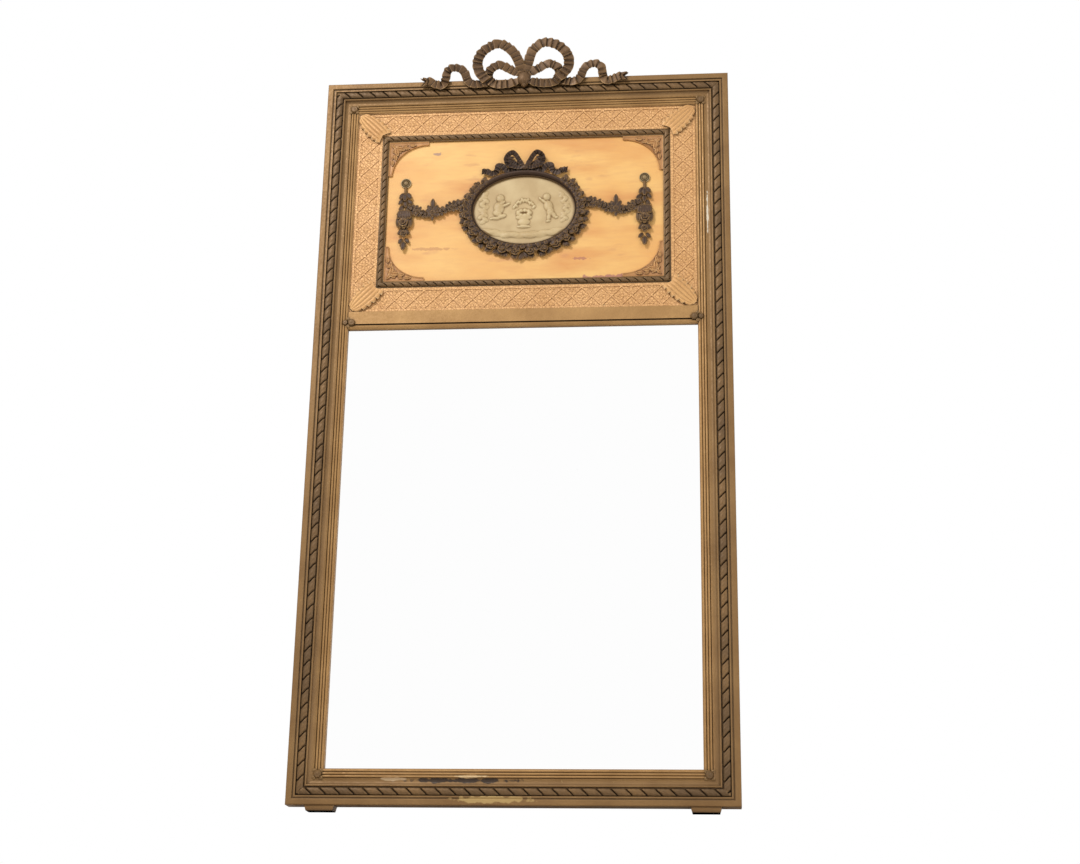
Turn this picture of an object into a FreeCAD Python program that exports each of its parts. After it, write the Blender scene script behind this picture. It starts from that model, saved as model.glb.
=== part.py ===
import FreeCAD, Part
import math
import os

# Trumeau mirror: a mitred, moulded frame with a looking glass below a painted and
# ornamented panel, and a carved ribbon bow as its crest.
# Millimetres. +Z is up, -Y is the front, X runs from left to right as seen from the front.
# The origin is under the middle of the whole, at the soles of the feet.

# ---- main frame -------------------------------------------------------------------------
FRAME_W = 840.0            # outer width
FRAME_H = 1504.0           # outer height, without feet and crest
FRAME_D = 36.0             # front of the outer band, from the wall
MOULD_W = 68.0             # width of the moulding, outer edge to sight edge

# Section of the moulding. Widths are measured from the outer edge inwards,
# depths forwards from the back of the frame.
BAND_W = 12.0              # flat outer band
BAND_ROUND = 2.0           # rounded arrises of the band
QUIRK_W = 2.5              # narrow groove beside the band
QUIRK_DEEP = 3.0
FILLET_W = 3.0
FILLET_DROP = 1.5
ROPE_W = 15.0
ROPE_H = 6.0
ROPE_DROP = 0.3            # top of the rope below the front of the band
ROPE_PLAY = 0.4            # room beside the rope in its channel
BEAD_W = 4.0
BEAD_DROP = 2.0            # crest of the bead below the front of the band
HOLLOW_DROP = 6.0          # start of the hollow below the front of the band
HOLLOW_SAG = 2.0
REED_COUNT = 3
REED_W = 5.4
REED_RISE = 2.0
REED_TOP = 28.0            # crest of the reeds, from the back
SHOULDER_D = 20.0          # seat of the glass and of the panel, from the back
REBATE_W = 10.0            # width of the glass rebate
LEDGE_D = 8.0              # ledge for planks and battens, from the back
LEDGE_W = 10.0

# ---- rope twist -------------------------------------------------------------------------
ROPE_PITCH = 27.0
ROPE_SKEW = 11.0           # sideways run of one cut across the rope
ROPE_CUT_W = 3.4
ROPE_CUT_DEEP = 3.0
PANEL_ROPE_PITCH = 17.0
PANEL_ROPE_SKEW = 8.0
PANEL_ROPE_CUT_W = 2.6
PANEL_ROPE_CUT_DEEP = 2.2

# ---- cross rail -------------------------------------------------------------------------
PANEL_H = 450.0            # height in sight of the upper panel, which stands on this rail
CROSS_H = 38.0
CROSS_BEAD = 10.0          # rounded lower lip
CROSS_GROOVE = 1.2
TENON_LEN = 20.0
TENON_END_PLAY = 0.3

# ---- glass and its backing --------------------------------------------------------------
GLASS_T = 4.0
GLASS_PLAY = 1.0
BLOCK_LEN = 40.0
BLOCK_W = 8.0
BLOCKS_SIDE = 4
BLOCKS_END = 3
PLANK_COUNT = 3
PLANK_T = 6.5
PLANK_GAP = 1.5
PLANK_PLAY = 1.0
PLANK_LAP = 10.0           # lap of the top plank on the cross rail
NAIL_SIDE = 1.6            # square shank
NAIL_HEAD = 4.0
NAIL_HEAD_T = 1.0
NAIL_BITE = 9.0            # length in the wood behind the plank
NAIL_INSET = 28.0          # from the edge of a plank

# ---- upper panel ------------------------------------------------------------------------
PANEL_PLAY = 1.0
LATTICE_W = 52.0
LATTICE_T = 3.0
LATTICE_PITCH = 40.0       # distance between crossings along the border
LATTICE_BAR = 3.0
LATTICE_RISE = 1.2
LATTICE_END = 2.0          # plain edge along a mitre
PANEL_ROPE_W = 10.0
PANEL_ROPE_H = 5.0
PANEL_ROPE_BASE = 4.0      # height of the base under the panel rope
PANEL_ROPE_LIP = 2.5       # flat on each side of the panel rope
SPANDREL_X = 83.0
SPANDREL_Z = 78.0
SPANDREL_STEP = 8.0
SPANDREL_T = 2.2
SPANDREL_RIM = 4.0
SPANDREL_RIM_RISE = 1.4
LEAF_LEN = 66.0
LEAF_HALF_W = 22.0
LEAF_T = 5.0
LEAF_LOBES = 5
LEAF_SPREAD = 0.55         # radians: how soon the leaf reaches its full width
LEAF_NOTCH = 0.72          # notch between lobes, as a share of the lobe's reach
BATTEN_H = 42.0
BATTEN_INSET = 60.0        # from the edge of the panel opening to a batten

# ---- medallion --------------------------------------------------------------------------
PLAQUE_OVER = 77.0         # field in sight under the plaque
PLAQUE_UNDER = 87.0        # field in sight over the plaque, where the bow stands
PLAQUE_LONG = 28.0         # half width of the plaque less its half height
PLAQUE_T = 6.0
PLAQUE_DOME = 3.0
RING_W = 13.0
RING_H = 13.0
RING_LIP = 1.5             # cover of the moulding over the plaque
RING_GAP = 0.3
WREATH_H = 11.0
WREATH_PETALS = 15         # on each side
WREATH_TOP_DEG = 132.0     # run of each half, from the bottom
WREATH_SIDE_R = 11.0
WREATH_FOOT_R = 17.0
BOW_H = 9.0
BOW_KNOT_R = 9.0
BOW_KNOT_H = 11.0
BOW_KNOT_Z = 8.0           # its centre above the moulding
# Outline of a loop and of a tail, from the middle of the moulding's top.
BOW_LOOP_X = (0.0, 10.0, 26.0, 41.0, 42.0, 24.0, 17.0, 10.0, 4.0, 0.0)
BOW_LOOP_Z = (0.0, 2.0, 1.0, 5.0, 22.0, 44.0, 40.0, 22.0, 10.0, 9.0)
BOW_TAIL_X = (30.0, 62.0, 87.0, 79.0, 62.0, 40.0)
BOW_TAIL_Z = (-1.0, -12.0, 8.0, 13.0, 4.0, 10.0)

# ---- garlands ---------------------------------------------------------------------------
DROP_IN = 37.0             # middle of a drop from the side of the field
DROP_Z = 68.0              # button above the centre of the medallion
BUTTON_R = 11.0
BUTTON_H = 8.0
STEM_W = 7.0
STEM_H = 4.0
STEM_END = 40.0            # below the button's centre
GARLAND_H = 9.0
# Flowers of a swag: share of its run, height above the medallion's centre, radius.
SWAG_FROM_PLAQUE = 40.0    # first flower from the plaque
SWAG_TO_DROP = 26.0        # last flower from the middle of the drop
SWAG_SHARES = (0.0, 0.115, 0.256, 0.41, 0.564, 0.564, 0.705, 0.846, 1.0)
SWAG_RISE = (14.0, 9.0, 6.0, 0.0, 0.0, 17.0, -5.0, -4.0, 2.0)
SWAG_R = (8.0, 8.0, 9.5, 9.0, 12.0, 7.0, 9.0, 9.5, 8.5)
# Flowers of a drop: depth below the button's centre, radius.
DROP_FALL = (40.0, 52.0, 64.0, 77.0, 90.0, 102.0, 115.0, 127.0, 139.0, 149.0)
DROP_R = (9.5, 8.0, 7.5, 9.0, 12.5, 14.0, 11.0, 9.0, 7.5, 5.0)
DROP_SWAY = 1.5

# ---- crest ------------------------------------------------------------------------------
CREST_X = -4.0             # the hand-made crest sits a little left of the middle
RIBBON_W = 19.0
TAIL_W = 17.0
RIBBON_T = 8.5
RIPPLE = 1.8
RIPPLE_STEP = 5.4          # from a ridge to the next hollow
RIBBON_NARROW = 0.45       # share of its width where a ribbon enters the knot
RIBBON_TIP = 0.3           # and at the tip of a tail
RIBBON_FLARE = 6.0         # how fast it widens again
KNOT_R = 13.0
KNOT_H = 16.0
KNOB_R = 6.5
KNOB_H = 9.6
KNOB_DROP = 15.0           # from the knot's centre down to the knob's
PEG_SIDE = 4.0
PEG_IN_RAIL = 8.0
PEG_IN_CREST = 5.0
PEG_DROP = 6.0             # top of a peg below the top of the frame
PEG_X = (-108.0, -50.0, 50.0, 108.0)
# Middle lines of the ribbons on the left side, from the knot.
BIG_LOOP_X = (-3.0, -10.0, -27.0, -57.0, -86.0, -99.0, -93.0, -79.0)
BIG_LOOP_Z = (6.0, 36.0, 67.0, 84.0, 71.0, 43.0, 15.0, -9.0)
SMALL_LOOP_X = (-7.0, -31.0, -52.0, -70.0, -74.0, -62.0, -36.0, -8.0)
SMALL_LOOP_Z = (6.0, 17.0, 29.0, 20.0, 0.0, -14.0, -15.0, -9.0)
TAIL_X = (-82.0, -104.0, -121.0, -133.0, -147.0, -161.0, -166.0, -177.0, -192.0, -206.0, -219.0)
TAIL_Z = (-12.0, -14.0, -3.0, 17.0, 24.0, 14.0, -8.0, -16.0, -5.0, -4.0, -8.0)

# ---- bosses -----------------------------------------------------------------------------
BOSS_R = 9.0
BOSS_H = 7.0
BOSS_IN = 57.0             # centre from the outer edges of the frame
BALL_R = 8.0
BALL_H = 7.0
BALL_X = 7.0               # centre inside the sight edge
BALL_Z = 14.5              # centre above the lower edge of the cross rail
SMALL_BALL_R = 6.0
SMALL_BALL_H = 5.6
SMALL_BALL_X = -6.0
BOSS_GAP = 0.05            # film of glue under a boss
BOSS_RIM = 0.45            # upright part of a boss, as a share of its height
BOSS_FRONT = 0.5           # its flat front, as a share of its radius
FLOWER_FRONT = 0.55        # the same for a flower

# ---- mitre keys -------------------------------------------------------------------------
KEY_LEG = 42.0
KEY_T = 4.0
KEY_D = 10.0               # back of the key, from the back of the frame

# ---- feet -------------------------------------------------------------------------------
FOOT_H = 10.0
FOOT_W = 56.0
FOOT_TAPER = 3.0
FOOT_IN = 64.0             # centre of a foot from the outer edge of the frame
FOOT_FRONT = 3.0           # set back from the front of the band
FOOT_BACK = 2.0
FOOT_NAIL_X = 14.0
FOOT_NAIL_BITE = 14.0
FOOT_NAIL_SINK = 2.0

# ---- hangers ----------------------------------------------------------------------------
HANGER_IN = 24.0           # centre from the outer edge of the frame
HANGER_DOWN = 314.0        # eye below the top of the frame
PLATE_W = 26.0
PLATE_H = 40.0
PLATE_T = 1.5
EYE_R = 4.5
EYE_BORE_R = 2.2
EYE_W = 5.0
EYE_GAP = 0.3              # between the eye's barrel and the plate
RING_WIRE_R = 1.75
RING_MEAN_R = 15.0
SCREW_Z = 14.0             # above and below the eye
SCREW_HEAD_R = 3.2
SCREW_HEAD_H = 1.6
SCREW_R = 1.5
SCREW_LEN = 14.0
SCREW_PLAY = 0.1

# ---- sizes that follow ------------------------------------------------------------------
HALF_W = FRAME_W / 2
Z0 = FOOT_H
Z1 = FOOT_H + FRAME_H
SIGHT_X = HALF_W - MOULD_W
SIGHT_Z0 = Z0 + MOULD_W
SIGHT_Z1 = Z1 - MOULD_W
CROSS_Z1 = SIGHT_Z1 - PANEL_H
CROSS_Z0 = CROSS_Z1 - CROSS_H
REBATE_X = SIGHT_X + REBATE_W
LEDGE_X = REBATE_X + LEDGE_W
ROPE_TOP = FRAME_D - ROPE_DROP
ROPE_FLOOR = ROPE_TOP - ROPE_H
ROPE_U = BAND_W + QUIRK_W + FILLET_W
FIELD_D = SHOULDER_D
LATTICE_TOP = FIELD_D + LATTICE_T + LATTICE_RISE
INNER_X = SIGHT_X - LATTICE_W
INNER_Z0 = CROSS_Z1 + LATTICE_W
INNER_Z1 = SIGHT_Z1 - LATTICE_W
INNER_FRAME_W = PANEL_ROPE_W + 2 * PANEL_ROPE_LIP
FIELD_X = INNER_X - INNER_FRAME_W
FIELD_Z0 = INNER_Z0 + INNER_FRAME_W
FIELD_Z1 = INNER_Z1 - INNER_FRAME_W
PLAQUE_B = (FIELD_Z1 - FIELD_Z0 - PLAQUE_OVER - PLAQUE_UNDER) / 2    # half height in sight
PLAQUE_A = PLAQUE_B + PLAQUE_LONG                                    # half width in sight
MED_Z = FIELD_Z0 + PLAQUE_OVER + PLAQUE_B
DROP_X = FIELD_X - DROP_IN
EYE_D = -(PLATE_T + EYE_R + EYE_GAP)
FRONT_REACH = FRAME_D + KNOT_H
BACK_REACH = EYE_R - EYE_D
BACK_Y = (FRONT_REACH - BACK_REACH) / 2    # the back of the frame, so that Y = 0 is mid depth
CLEAR = 60.0               # how far cutting tools run past the wood

# ---- flat facets of the round and carved forms ------------------------------------------
MOULD_ARC_SIDES = 4
OVAL_SIDES = 32
FLOWER_SIDES = 6
BOSS_SIDES = 10
PIN_SIDES = 8
SPANDREL_SIDES = 7
RING_SIDES = 24            # along the wire of a hanger ring
WIRE_SIDES = 6             # round the wire
EYE_SIDES = 12

pieces = {}


def at(x, d, z):
    """The point at x and z that lies d in front of the back of the frame."""
    return FreeCAD.Vector(x, BACK_Y - d, z)


def box(x0, x1, d0, d1, z0, z1):
    corner = at(x0, d1, z0)
    return Part.makeBox(x1 - x0, d1 - d0, z1 - z0, corner)


def prism(points, d0, d1):
    """An outline of x, z points, from depth d0 forward to depth d1."""
    wire = Part.makePolygon([at(x, d0, z) for x, z in points + points[:1]])
    return Part.Face(wire).extrude(FreeCAD.Vector(0, d0 - d1, 0))


def outline(start, steps, place):
    """A closed wire: a pair is a straight line to it, four numbers a faceted arc through and to."""
    points = [place(*start)]
    for step in steps:
        end = place(*step[-2:])
        if len(step) == 4:
            arc = Part.Arc(points[-1], place(*step[:2]), end)
            points += arc.discretize(Number=MOULD_ARC_SIDES + 1)[1:-1]
        points.append(end)
    return Part.makePolygon(points)


def turned(shape, turn, x, z):
    """A piece made for the bottom side, turned about Y and moved to its own side."""
    copy = shape.copy()
    copy.rotate(FreeCAD.Vector(0, 0, 0), FreeCAD.Vector(0, 1, 0), turn)
    copy.translate(FreeCAD.Vector(x, 0, z))
    return copy


def sides(half_width, z_low, z_high):
    """Name, turn, place and length of the four sides of an upright rectangle."""
    middle = (z_low + z_high) / 2
    width = 2 * half_width
    height = z_high - z_low
    return [
        ("bottom", 0, 0, z_low, width),
        ("right", -90, half_width, middle, height),
        ("top", 180, 0, z_high, width),
        ("left", 90, -half_width, middle, height),
    ]


def mitred(face, length, width):
    """A side with the given section, its ends mitred towards the inside."""
    half = length / 2
    run = face.copy()
    run.translate(FreeCAD.Vector(-half, 0, 0))
    run = run.extrude(FreeCAD.Vector(length, 0, 0))
    plan = [(-half, 0), (half, 0), (half - width, width), (-half + width, width)]
    return run.common(prism(plan, -CLEAR, FRAME_D + CLEAR))


def section_face(start, steps):
    """A section in the plane across a side: u inwards, d forwards."""
    return Part.Face(outline(start, steps, lambda u, d: at(0, d, u)))


def frame_section():
    channel_end = ROPE_U + ROPE_W + 2 * ROPE_PLAY
    bead_start = channel_end + 1.0
    bead_end = bead_start + BEAD_W
    bead_foot = FRAME_D - BEAD_DROP - BEAD_W / 2
    reed_start = MOULD_W - 1.0 - REED_COUNT * REED_W
    reed_foot = REED_TOP - REED_RISE
    hollow_start = FRAME_D - HOLLOW_DROP
    round_mid = BAND_ROUND * (1 - math.sqrt(0.5))
    fillet_d = FRAME_D - FILLET_DROP
    steps = [
        (0, FRAME_D - BAND_ROUND),
        (round_mid, FRAME_D - round_mid, BAND_ROUND, FRAME_D),
        (BAND_W - BAND_ROUND, FRAME_D),
        (BAND_W - round_mid, FRAME_D - round_mid, BAND_W, FRAME_D - BAND_ROUND),
        (BAND_W, FRAME_D - QUIRK_DEEP),
        (BAND_W + QUIRK_W, FRAME_D - QUIRK_DEEP),
        (BAND_W + QUIRK_W, fillet_d),
        (ROPE_U, fillet_d),
        (ROPE_U, ROPE_FLOOR),
        (bead_start, ROPE_FLOOR),
        (bead_start, bead_foot),
        (bead_start + BEAD_W / 2, FRAME_D - BEAD_DROP, bead_end, bead_foot),
        (bead_end, hollow_start),
        ((bead_end + reed_start) / 2, (hollow_start + REED_TOP) / 2 - HOLLOW_SAG,
         reed_start - 1.0, REED_TOP),
        (reed_start, reed_foot),
    ]
    for reed in range(REED_COUNT):
        low = reed_start + reed * REED_W
        steps.append((low + REED_W / 2, REED_TOP, low + REED_W, reed_foot))
    steps += [
        (MOULD_W, reed_foot),
        (MOULD_W, SHOULDER_D),
        (MOULD_W - REBATE_W, SHOULDER_D),
        (MOULD_W - REBATE_W, LEDGE_D),
        (MOULD_W - REBATE_W - LEDGE_W, LEDGE_D),
        (MOULD_W - REBATE_W - LEDGE_W, 0),
        (0, 0),
    ]
    return section_face((0, 0), steps)


def rope_strip(length, inset, width, height, floor, pitch, skew, cut_w, cut_deep):
    """A half-round strip with slanting V cuts, mitred, for a side of the given length."""
    top = floor + height
    face = section_face((inset, floor), [
        (inset, floor + 0.45 * height),
        (inset + 0.25 * width, top),
        (inset + 0.75 * width, top),
        (inset + width, floor + 0.45 * height),
        (inset + width, floor),
        (inset, floor),
    ])
    half = length / 2
    run = face.copy()
    run.translate(FreeCAD.Vector(-half, 0, 0))
    run = run.extrude(FreeCAD.Vector(length, 0, 0))
    count = int(round((length - 2 * inset) / pitch))
    step = (length - 2 * inset) / count
    cuts = []
    for index in range(count):
        x = -half + inset + (index + 0.5) * step + skew / 2
        low = inset - 1.0
        slope = skew / width
        vee = Part.makePolygon([
            at(x - cut_w / 2 + slope, top + 0.01, low),
            at(x + cut_w / 2 + slope, top + 0.01, low),
            at(x + slope, top - cut_deep, low),
            at(x - cut_w / 2 + slope, top + 0.01, low),
        ])
        across = FreeCAD.Vector(-slope * (width + 2), 0, width + 2)
        cuts.append(Part.Face(vee).extrude(across))
    run = run.cut(cuts)
    far = inset + width
    plan = [(-half + inset, inset), (half - inset, inset), (half - far, far), (-half + far, far)]
    return run.common(prism(plan, floor - 1, top + 1))


def lattice_strip(length):
    """A mitred strip with diamonds sunk between raised diagonal fillets and flat edges."""
    half = length / 2
    plan = [(-half, 0), (half, 0), (half - LATTICE_W, LATTICE_W), (-half + LATTICE_W, LATTICE_W)]
    strip = prism(plan, FIELD_D, LATTICE_TOP)
    middle = LATTICE_W / 2
    deep = FIELD_D + LATTICE_T
    reach = LATTICE_PITCH / 2 - LATTICE_BAR / math.sqrt(2)
    row = middle - LATTICE_PITCH / 2
    count = int(half / LATTICE_PITCH) + 1
    sunk = []
    for index in range(-count, count + 1):
        x = index * LATTICE_PITCH
        sunk.append([(x - reach, middle), (x, middle - reach), (x + reach, middle),
                     (x, middle + reach)])
        x += LATTICE_PITCH / 2
        halved = [(x - reach, row), (x + reach, row), (x, row + reach)]
        sunk.append(halved)
        sunk.append([(a, LATTICE_W - b) for a, b in halved])
    keep = prism([(-half + LATTICE_END, 0), (half - LATTICE_END, 0),
                  (half - LATTICE_W - LATTICE_END, LATTICE_W),
                  (-half + LATTICE_W + LATTICE_END, LATTICE_W)], deep, LATTICE_TOP + 1)
    diamonds = Part.makeCompound([prism(points, deep, LATTICE_TOP + 1) for points in sunk])
    return strip.cut(diamonds.common(keep))


def facet(corners):
    return Part.Face(Part.makePolygon(corners + corners[:1]))


def faceted(loops, closed=False):
    """A solid with flat facets through loops of points; closed joins the last to the first."""
    pairs = list(zip(loops, loops[1:]))
    faces = []
    if closed:
        pairs.append((loops[-1], loops[0]))
    else:
        faces += [facet(loops[0]), facet(loops[-1][::-1])]
    for one, two in pairs:
        for k in range(len(one)):
            nxt = (k + 1) % len(one)
            faces.append(facet([one[k], two[k], two[nxt]]))
            faces.append(facet([one[k], two[nxt], one[nxt]]))
    solid = Part.makeSolid(Part.makeShell(faces))
    if solid.Volume < 0:
        solid.reverse()
    return solid


def round_loop(x, z, radius, d, count, turn=0.0):
    """Corners of a regular outline about x, z at depth d."""
    angles = [2 * math.pi * index / count + turn for index in range(count)]
    return [at(x + radius * math.cos(a), d, z + radius * math.sin(a)) for a in angles]


def pin(x, z, radius, d0, d1, count=PIN_SIDES):
    """A round pin or hole along the depth."""
    return faceted([round_loop(x, z, radius, d0, count), round_loop(x, z, radius, d1, count)])


def boss(x, z, radius, seat, height):
    """A domed boss: an upright rim, a sloping flank and a smaller flat front."""
    return faceted([
        round_loop(x, z, radius, seat, BOSS_SIDES),
        round_loop(x, z, radius, seat + BOSS_RIM * height, BOSS_SIDES),
        round_loop(x, z, BOSS_FRONT * radius, seat + height, BOSS_SIDES),
    ])


def blossom(x, z, radius, seat, height, turn):
    """A cut flower or berry of the wreath and the garlands."""
    return faceted([
        round_loop(x, z, radius, seat, FLOWER_SIDES, turn),
        round_loop(x, z, FLOWER_FRONT * radius, seat + height, FLOWER_SIDES, turn),
    ])


def fused(solids):
    return solids[0].multiFuse(solids[1:]).removeSplitter()


def oval_point(index, grow, d):
    """A corner of an oval that is larger than the plaque by grow all round."""
    angle = 2 * math.pi * index / OVAL_SIDES
    return at((PLAQUE_A + grow) * math.cos(angle), d, MED_Z + (PLAQUE_B + grow) * math.sin(angle))


def oval_solid(levels):
    """A solid through ovals: pairs of how much larger than the plaque, and the depth."""
    return faceted([[oval_point(i, grow, d) for i in range(OVAL_SIDES)] for grow, d in levels])


def oval_ring(section):
    """A moulding round the plaque with a section of the same kind of pairs."""
    loops = [[oval_point(i, grow, d) for grow, d in section] for i in range(OVAL_SIDES)]
    return faceted(loops, closed=True)


def ribbon(points, width, start=1.0, end=1.0):
    """A pleated ribbon along a smooth line; start and end are the shares of its width there."""
    line = Part.BSplineCurve()
    line.interpolate([FreeCAD.Vector(CREST_X + x, 0, Z1 + z) for x, z in points])
    count = 2 * int(round(line.length() / RIPPLE_STEP / 2)) + 1
    stations = line.discretize(Number=count)
    rows = []
    for index, here in enumerate(stations):
        before = stations[max(index - 1, 0)]
        after = stations[min(index + 1, count - 1)]
        along = (after - before).normalize()
        share = index / (count - 1)
        full = min(1.0, start + RIBBON_FLARE * share, end + RIBBON_FLARE * (1 - share))
        half = FreeCAD.Vector(-along.z, 0, along.x) * (0.5 * width * full)
        front = FRAME_D + RIBBON_T + (RIPPLE if index % 2 else 0.0)
        one, two = here + half, here - half
        rows.append([at(one.x, FRAME_D, one.z), at(one.x, front, one.z),
                     at(two.x, front, two.z), at(two.x, FRAME_D, two.z)])
    return faceted(rows)


def biggest(shape):
    """The largest solid of a cut piece, without the crumbs that a cut can leave."""
    return max(shape.Solids, key=lambda solid: solid.Volume)


def mirrored(shape, x=0.0):
    return shape.mirror(FreeCAD.Vector(x, 0, 0), FreeCAD.Vector(1, 0, 0))


# ---- main frame -------------------------------------------------------------------------
def make_frame():
    face = frame_section()
    names = {"bottom": "rail_bottom", "top": "rail_top",
             "left": "stile_left", "right": "stile_right"}
    for side, turn, x, z, length in sides(HALF_W, Z0, Z1):
        pieces[names[side]] = turned(mitred(face, length, MOULD_W), turn, x, z)
        rope = rope_strip(length, ROPE_U + ROPE_PLAY, ROPE_W, ROPE_H, ROPE_FLOOR,
                          ROPE_PITCH, ROPE_SKEW, ROPE_CUT_W, ROPE_CUT_DEEP)
        pieces["rope_" + side] = turned(rope, turn, x, z)


def make_keys():
    keys = []
    for x_sign in (-1, 1):
        for z, z_sign in ((Z0, 1), (Z1, -1)):
            corner = (x_sign * HALF_W, z)
            plan = [corner, (corner[0] - x_sign * KEY_LEG, z), (corner[0], z + z_sign * KEY_LEG)]
            keys.append(prism(plan, KEY_D, KEY_D + KEY_T))
    for name in ("stile_left", "stile_right", "rail_bottom", "rail_top"):
        pieces[name] = pieces[name].cut(keys)
    pieces["mitre_keys"] = Part.makeCompound(keys)


def make_cross_rail():
    lip = CROSS_Z0 + CROSS_BEAD
    tenon_z0 = CROSS_Z0 + REBATE_W
    tenon_z1 = CROSS_Z1 - REBATE_W
    face = Part.Face(outline((SHOULDER_D, CROSS_Z0), [
        (REED_TOP - CROSS_BEAD / 2, CROSS_Z0),
        (REED_TOP, CROSS_Z0 + CROSS_BEAD / 2, REED_TOP - CROSS_BEAD / 2, lip),
        (REED_TOP - CROSS_BEAD / 2, lip + CROSS_GROOVE),
        (REED_TOP, lip + CROSS_GROOVE),
        (REED_TOP, CROSS_Z1),
        (SHOULDER_D, CROSS_Z1),
        (SHOULDER_D, CROSS_Z0),
    ], lambda d, z: at(-SIGHT_X, d, z)))
    front = face.extrude(FreeCAD.Vector(2 * SIGHT_X, 0, 0))
    reach = REBATE_X + TENON_LEN
    end = reach - TENON_END_PLAY
    body = box(-end, end, LEDGE_D, SHOULDER_D, tenon_z0, tenon_z1)
    mortises = box(-reach, reach, LEDGE_D, SHOULDER_D, tenon_z0, tenon_z1)
    for name in ("stile_left", "stile_right"):
        pieces[name] = pieces[name].cut(mortises)
    pieces["cross_rail"] = front.fuse(body).removeSplitter()


def make_feet():
    nails = []
    for side, sign in (("left", -1), ("right", 1)):
        x = sign * (HALF_W - FOOT_IN)
        top = FOOT_W / 2
        sole = top - FOOT_TAPER
        foot = prism([(x - top, Z0), (x - sole, 0), (x + sole, 0), (x + top, Z0)],
                     FOOT_BACK, FRAME_D - FOOT_FRONT)
        middle = (FOOT_BACK + FRAME_D - FOOT_FRONT) / 2
        for shift in (-FOOT_NAIL_X, FOOT_NAIL_X):
            r = NAIL_SIDE / 2
            h = NAIL_HEAD / 2
            head_z = FOOT_NAIL_SINK + NAIL_HEAD_T
            shank = box(x + shift - r, x + shift + r, middle - r, middle + r,
                        head_z, Z0 + FOOT_NAIL_BITE)
            head = box(x + shift - h, x + shift + h, middle - h, middle + h,
                       FOOT_NAIL_SINK, head_z)
            well = box(x + shift - h, x + shift + h, middle - h, middle + h, 0, head_z)
            foot = foot.cut([well, shank])
            pieces["rail_bottom"] = pieces["rail_bottom"].cut(shank)
            nails.append(shank.fuse(head))
        pieces["foot_" + side] = foot
    pieces["foot_nails"] = Part.makeCompound(nails)


# ---- glass, backing and panel board -----------------------------------------------------
def make_glass():
    x = REBATE_X - GLASS_PLAY
    z0 = SIGHT_Z0 - REBATE_W + GLASS_PLAY
    z1 = CROSS_Z0 + REBATE_W - GLASS_PLAY
    glass = box(-x, x, SHOULDER_D - GLASS_T, SHOULDER_D, z0, z1)
    pieces["mirror_glass"] = glass
    blocks = []
    back = SHOULDER_D - GLASS_T
    low = SIGHT_Z0 - REBATE_W
    high = CROSS_Z0 + REBATE_W
    for index in range(BLOCKS_SIDE):
        z = low + (high - low) * (index + 0.5) / BLOCKS_SIDE
        for sign in (-1, 1):
            ends = sorted((sign * REBATE_X, sign * (REBATE_X - BLOCK_W)))
            blocks.append(box(ends[0], ends[1], LEDGE_D, back,
                              z - BLOCK_LEN / 2, z + BLOCK_LEN / 2))
    for index in range(BLOCKS_END):
        x = 2 * SIGHT_X * ((index + 0.5) / BLOCKS_END - 0.5)
        for z_a, z_b in ((low, low + BLOCK_W), (high - BLOCK_W, high)):
            blocks.append(box(x - BLOCK_LEN / 2, x + BLOCK_LEN / 2, LEDGE_D, back, z_a, z_b))
    pieces["glazing_blocks"] = Part.makeCompound(blocks)


def nail_set(places, back, head_holes, through):
    """Cut nails driven forwards from depth back, and their holes in the named pieces."""
    r = NAIL_SIDE / 2
    h = NAIL_HEAD / 2
    nails = []
    shanks = []
    for x, z in places:
        shank = box(x - r, x + r, back, LEDGE_D + NAIL_BITE, z - r, z + r)
        head = box(x - h, x + h, back - NAIL_HEAD_T, back, z - h, z + h)
        shanks.append(shank)
        nails.append(shank.fuse(head).removeSplitter())
    for name in head_holes + through:
        pieces[name] = pieces[name].cut(shanks)
    return nails


def make_backing():
    ledge_mid = (REBATE_X + LEDGE_X) / 2
    back = LEDGE_D - PLANK_T
    half = LEDGE_X - PLANK_PLAY
    low = SIGHT_Z0 - REBATE_W - LEDGE_W + PLANK_PLAY
    high = CROSS_Z0 + REBATE_W + PLANK_LAP
    height = (high - low - (PLANK_COUNT - 1) * PLANK_GAP) / PLANK_COUNT
    names = []
    places = []
    for index in range(PLANK_COUNT):
        z = low + index * (height + PLANK_GAP)
        name = "back_plank_%d" % (index + 1)
        pieces[name] = box(-half, half, back, LEDGE_D, z, z + height)
        names.append(name)
        for sign in (-1, 1):
            places.append((sign * ledge_mid, z + NAIL_INSET))
            places.append((sign * ledge_mid, z + height - NAIL_INSET))
    nails = nail_set(places, back, names, ["stile_left", "stile_right"])

    battens = []
    places = []
    for name, z in (("panel_batten_lower", CROSS_Z1 + BATTEN_INSET),
                    ("panel_batten_upper", SIGHT_Z1 - BATTEN_INSET - BATTEN_H)):
        pieces[name] = box(-half, half, back, LEDGE_D, z, z + BATTEN_H)
        battens.append(name)
        for sign in (-1, 1):
            places.append((sign * ledge_mid, z + BATTEN_H / 2))
    nails += nail_set(places, back, battens, ["stile_left", "stile_right"])
    pieces["back_nails"] = Part.makeCompound(nails)

    x = REBATE_X - PANEL_PLAY
    pieces["panel_board"] = box(-x, x, LEDGE_D, SHOULDER_D,
                                CROSS_Z1 - REBATE_W + PANEL_PLAY,
                                SIGHT_Z1 + REBATE_W - PANEL_PLAY)


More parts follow.
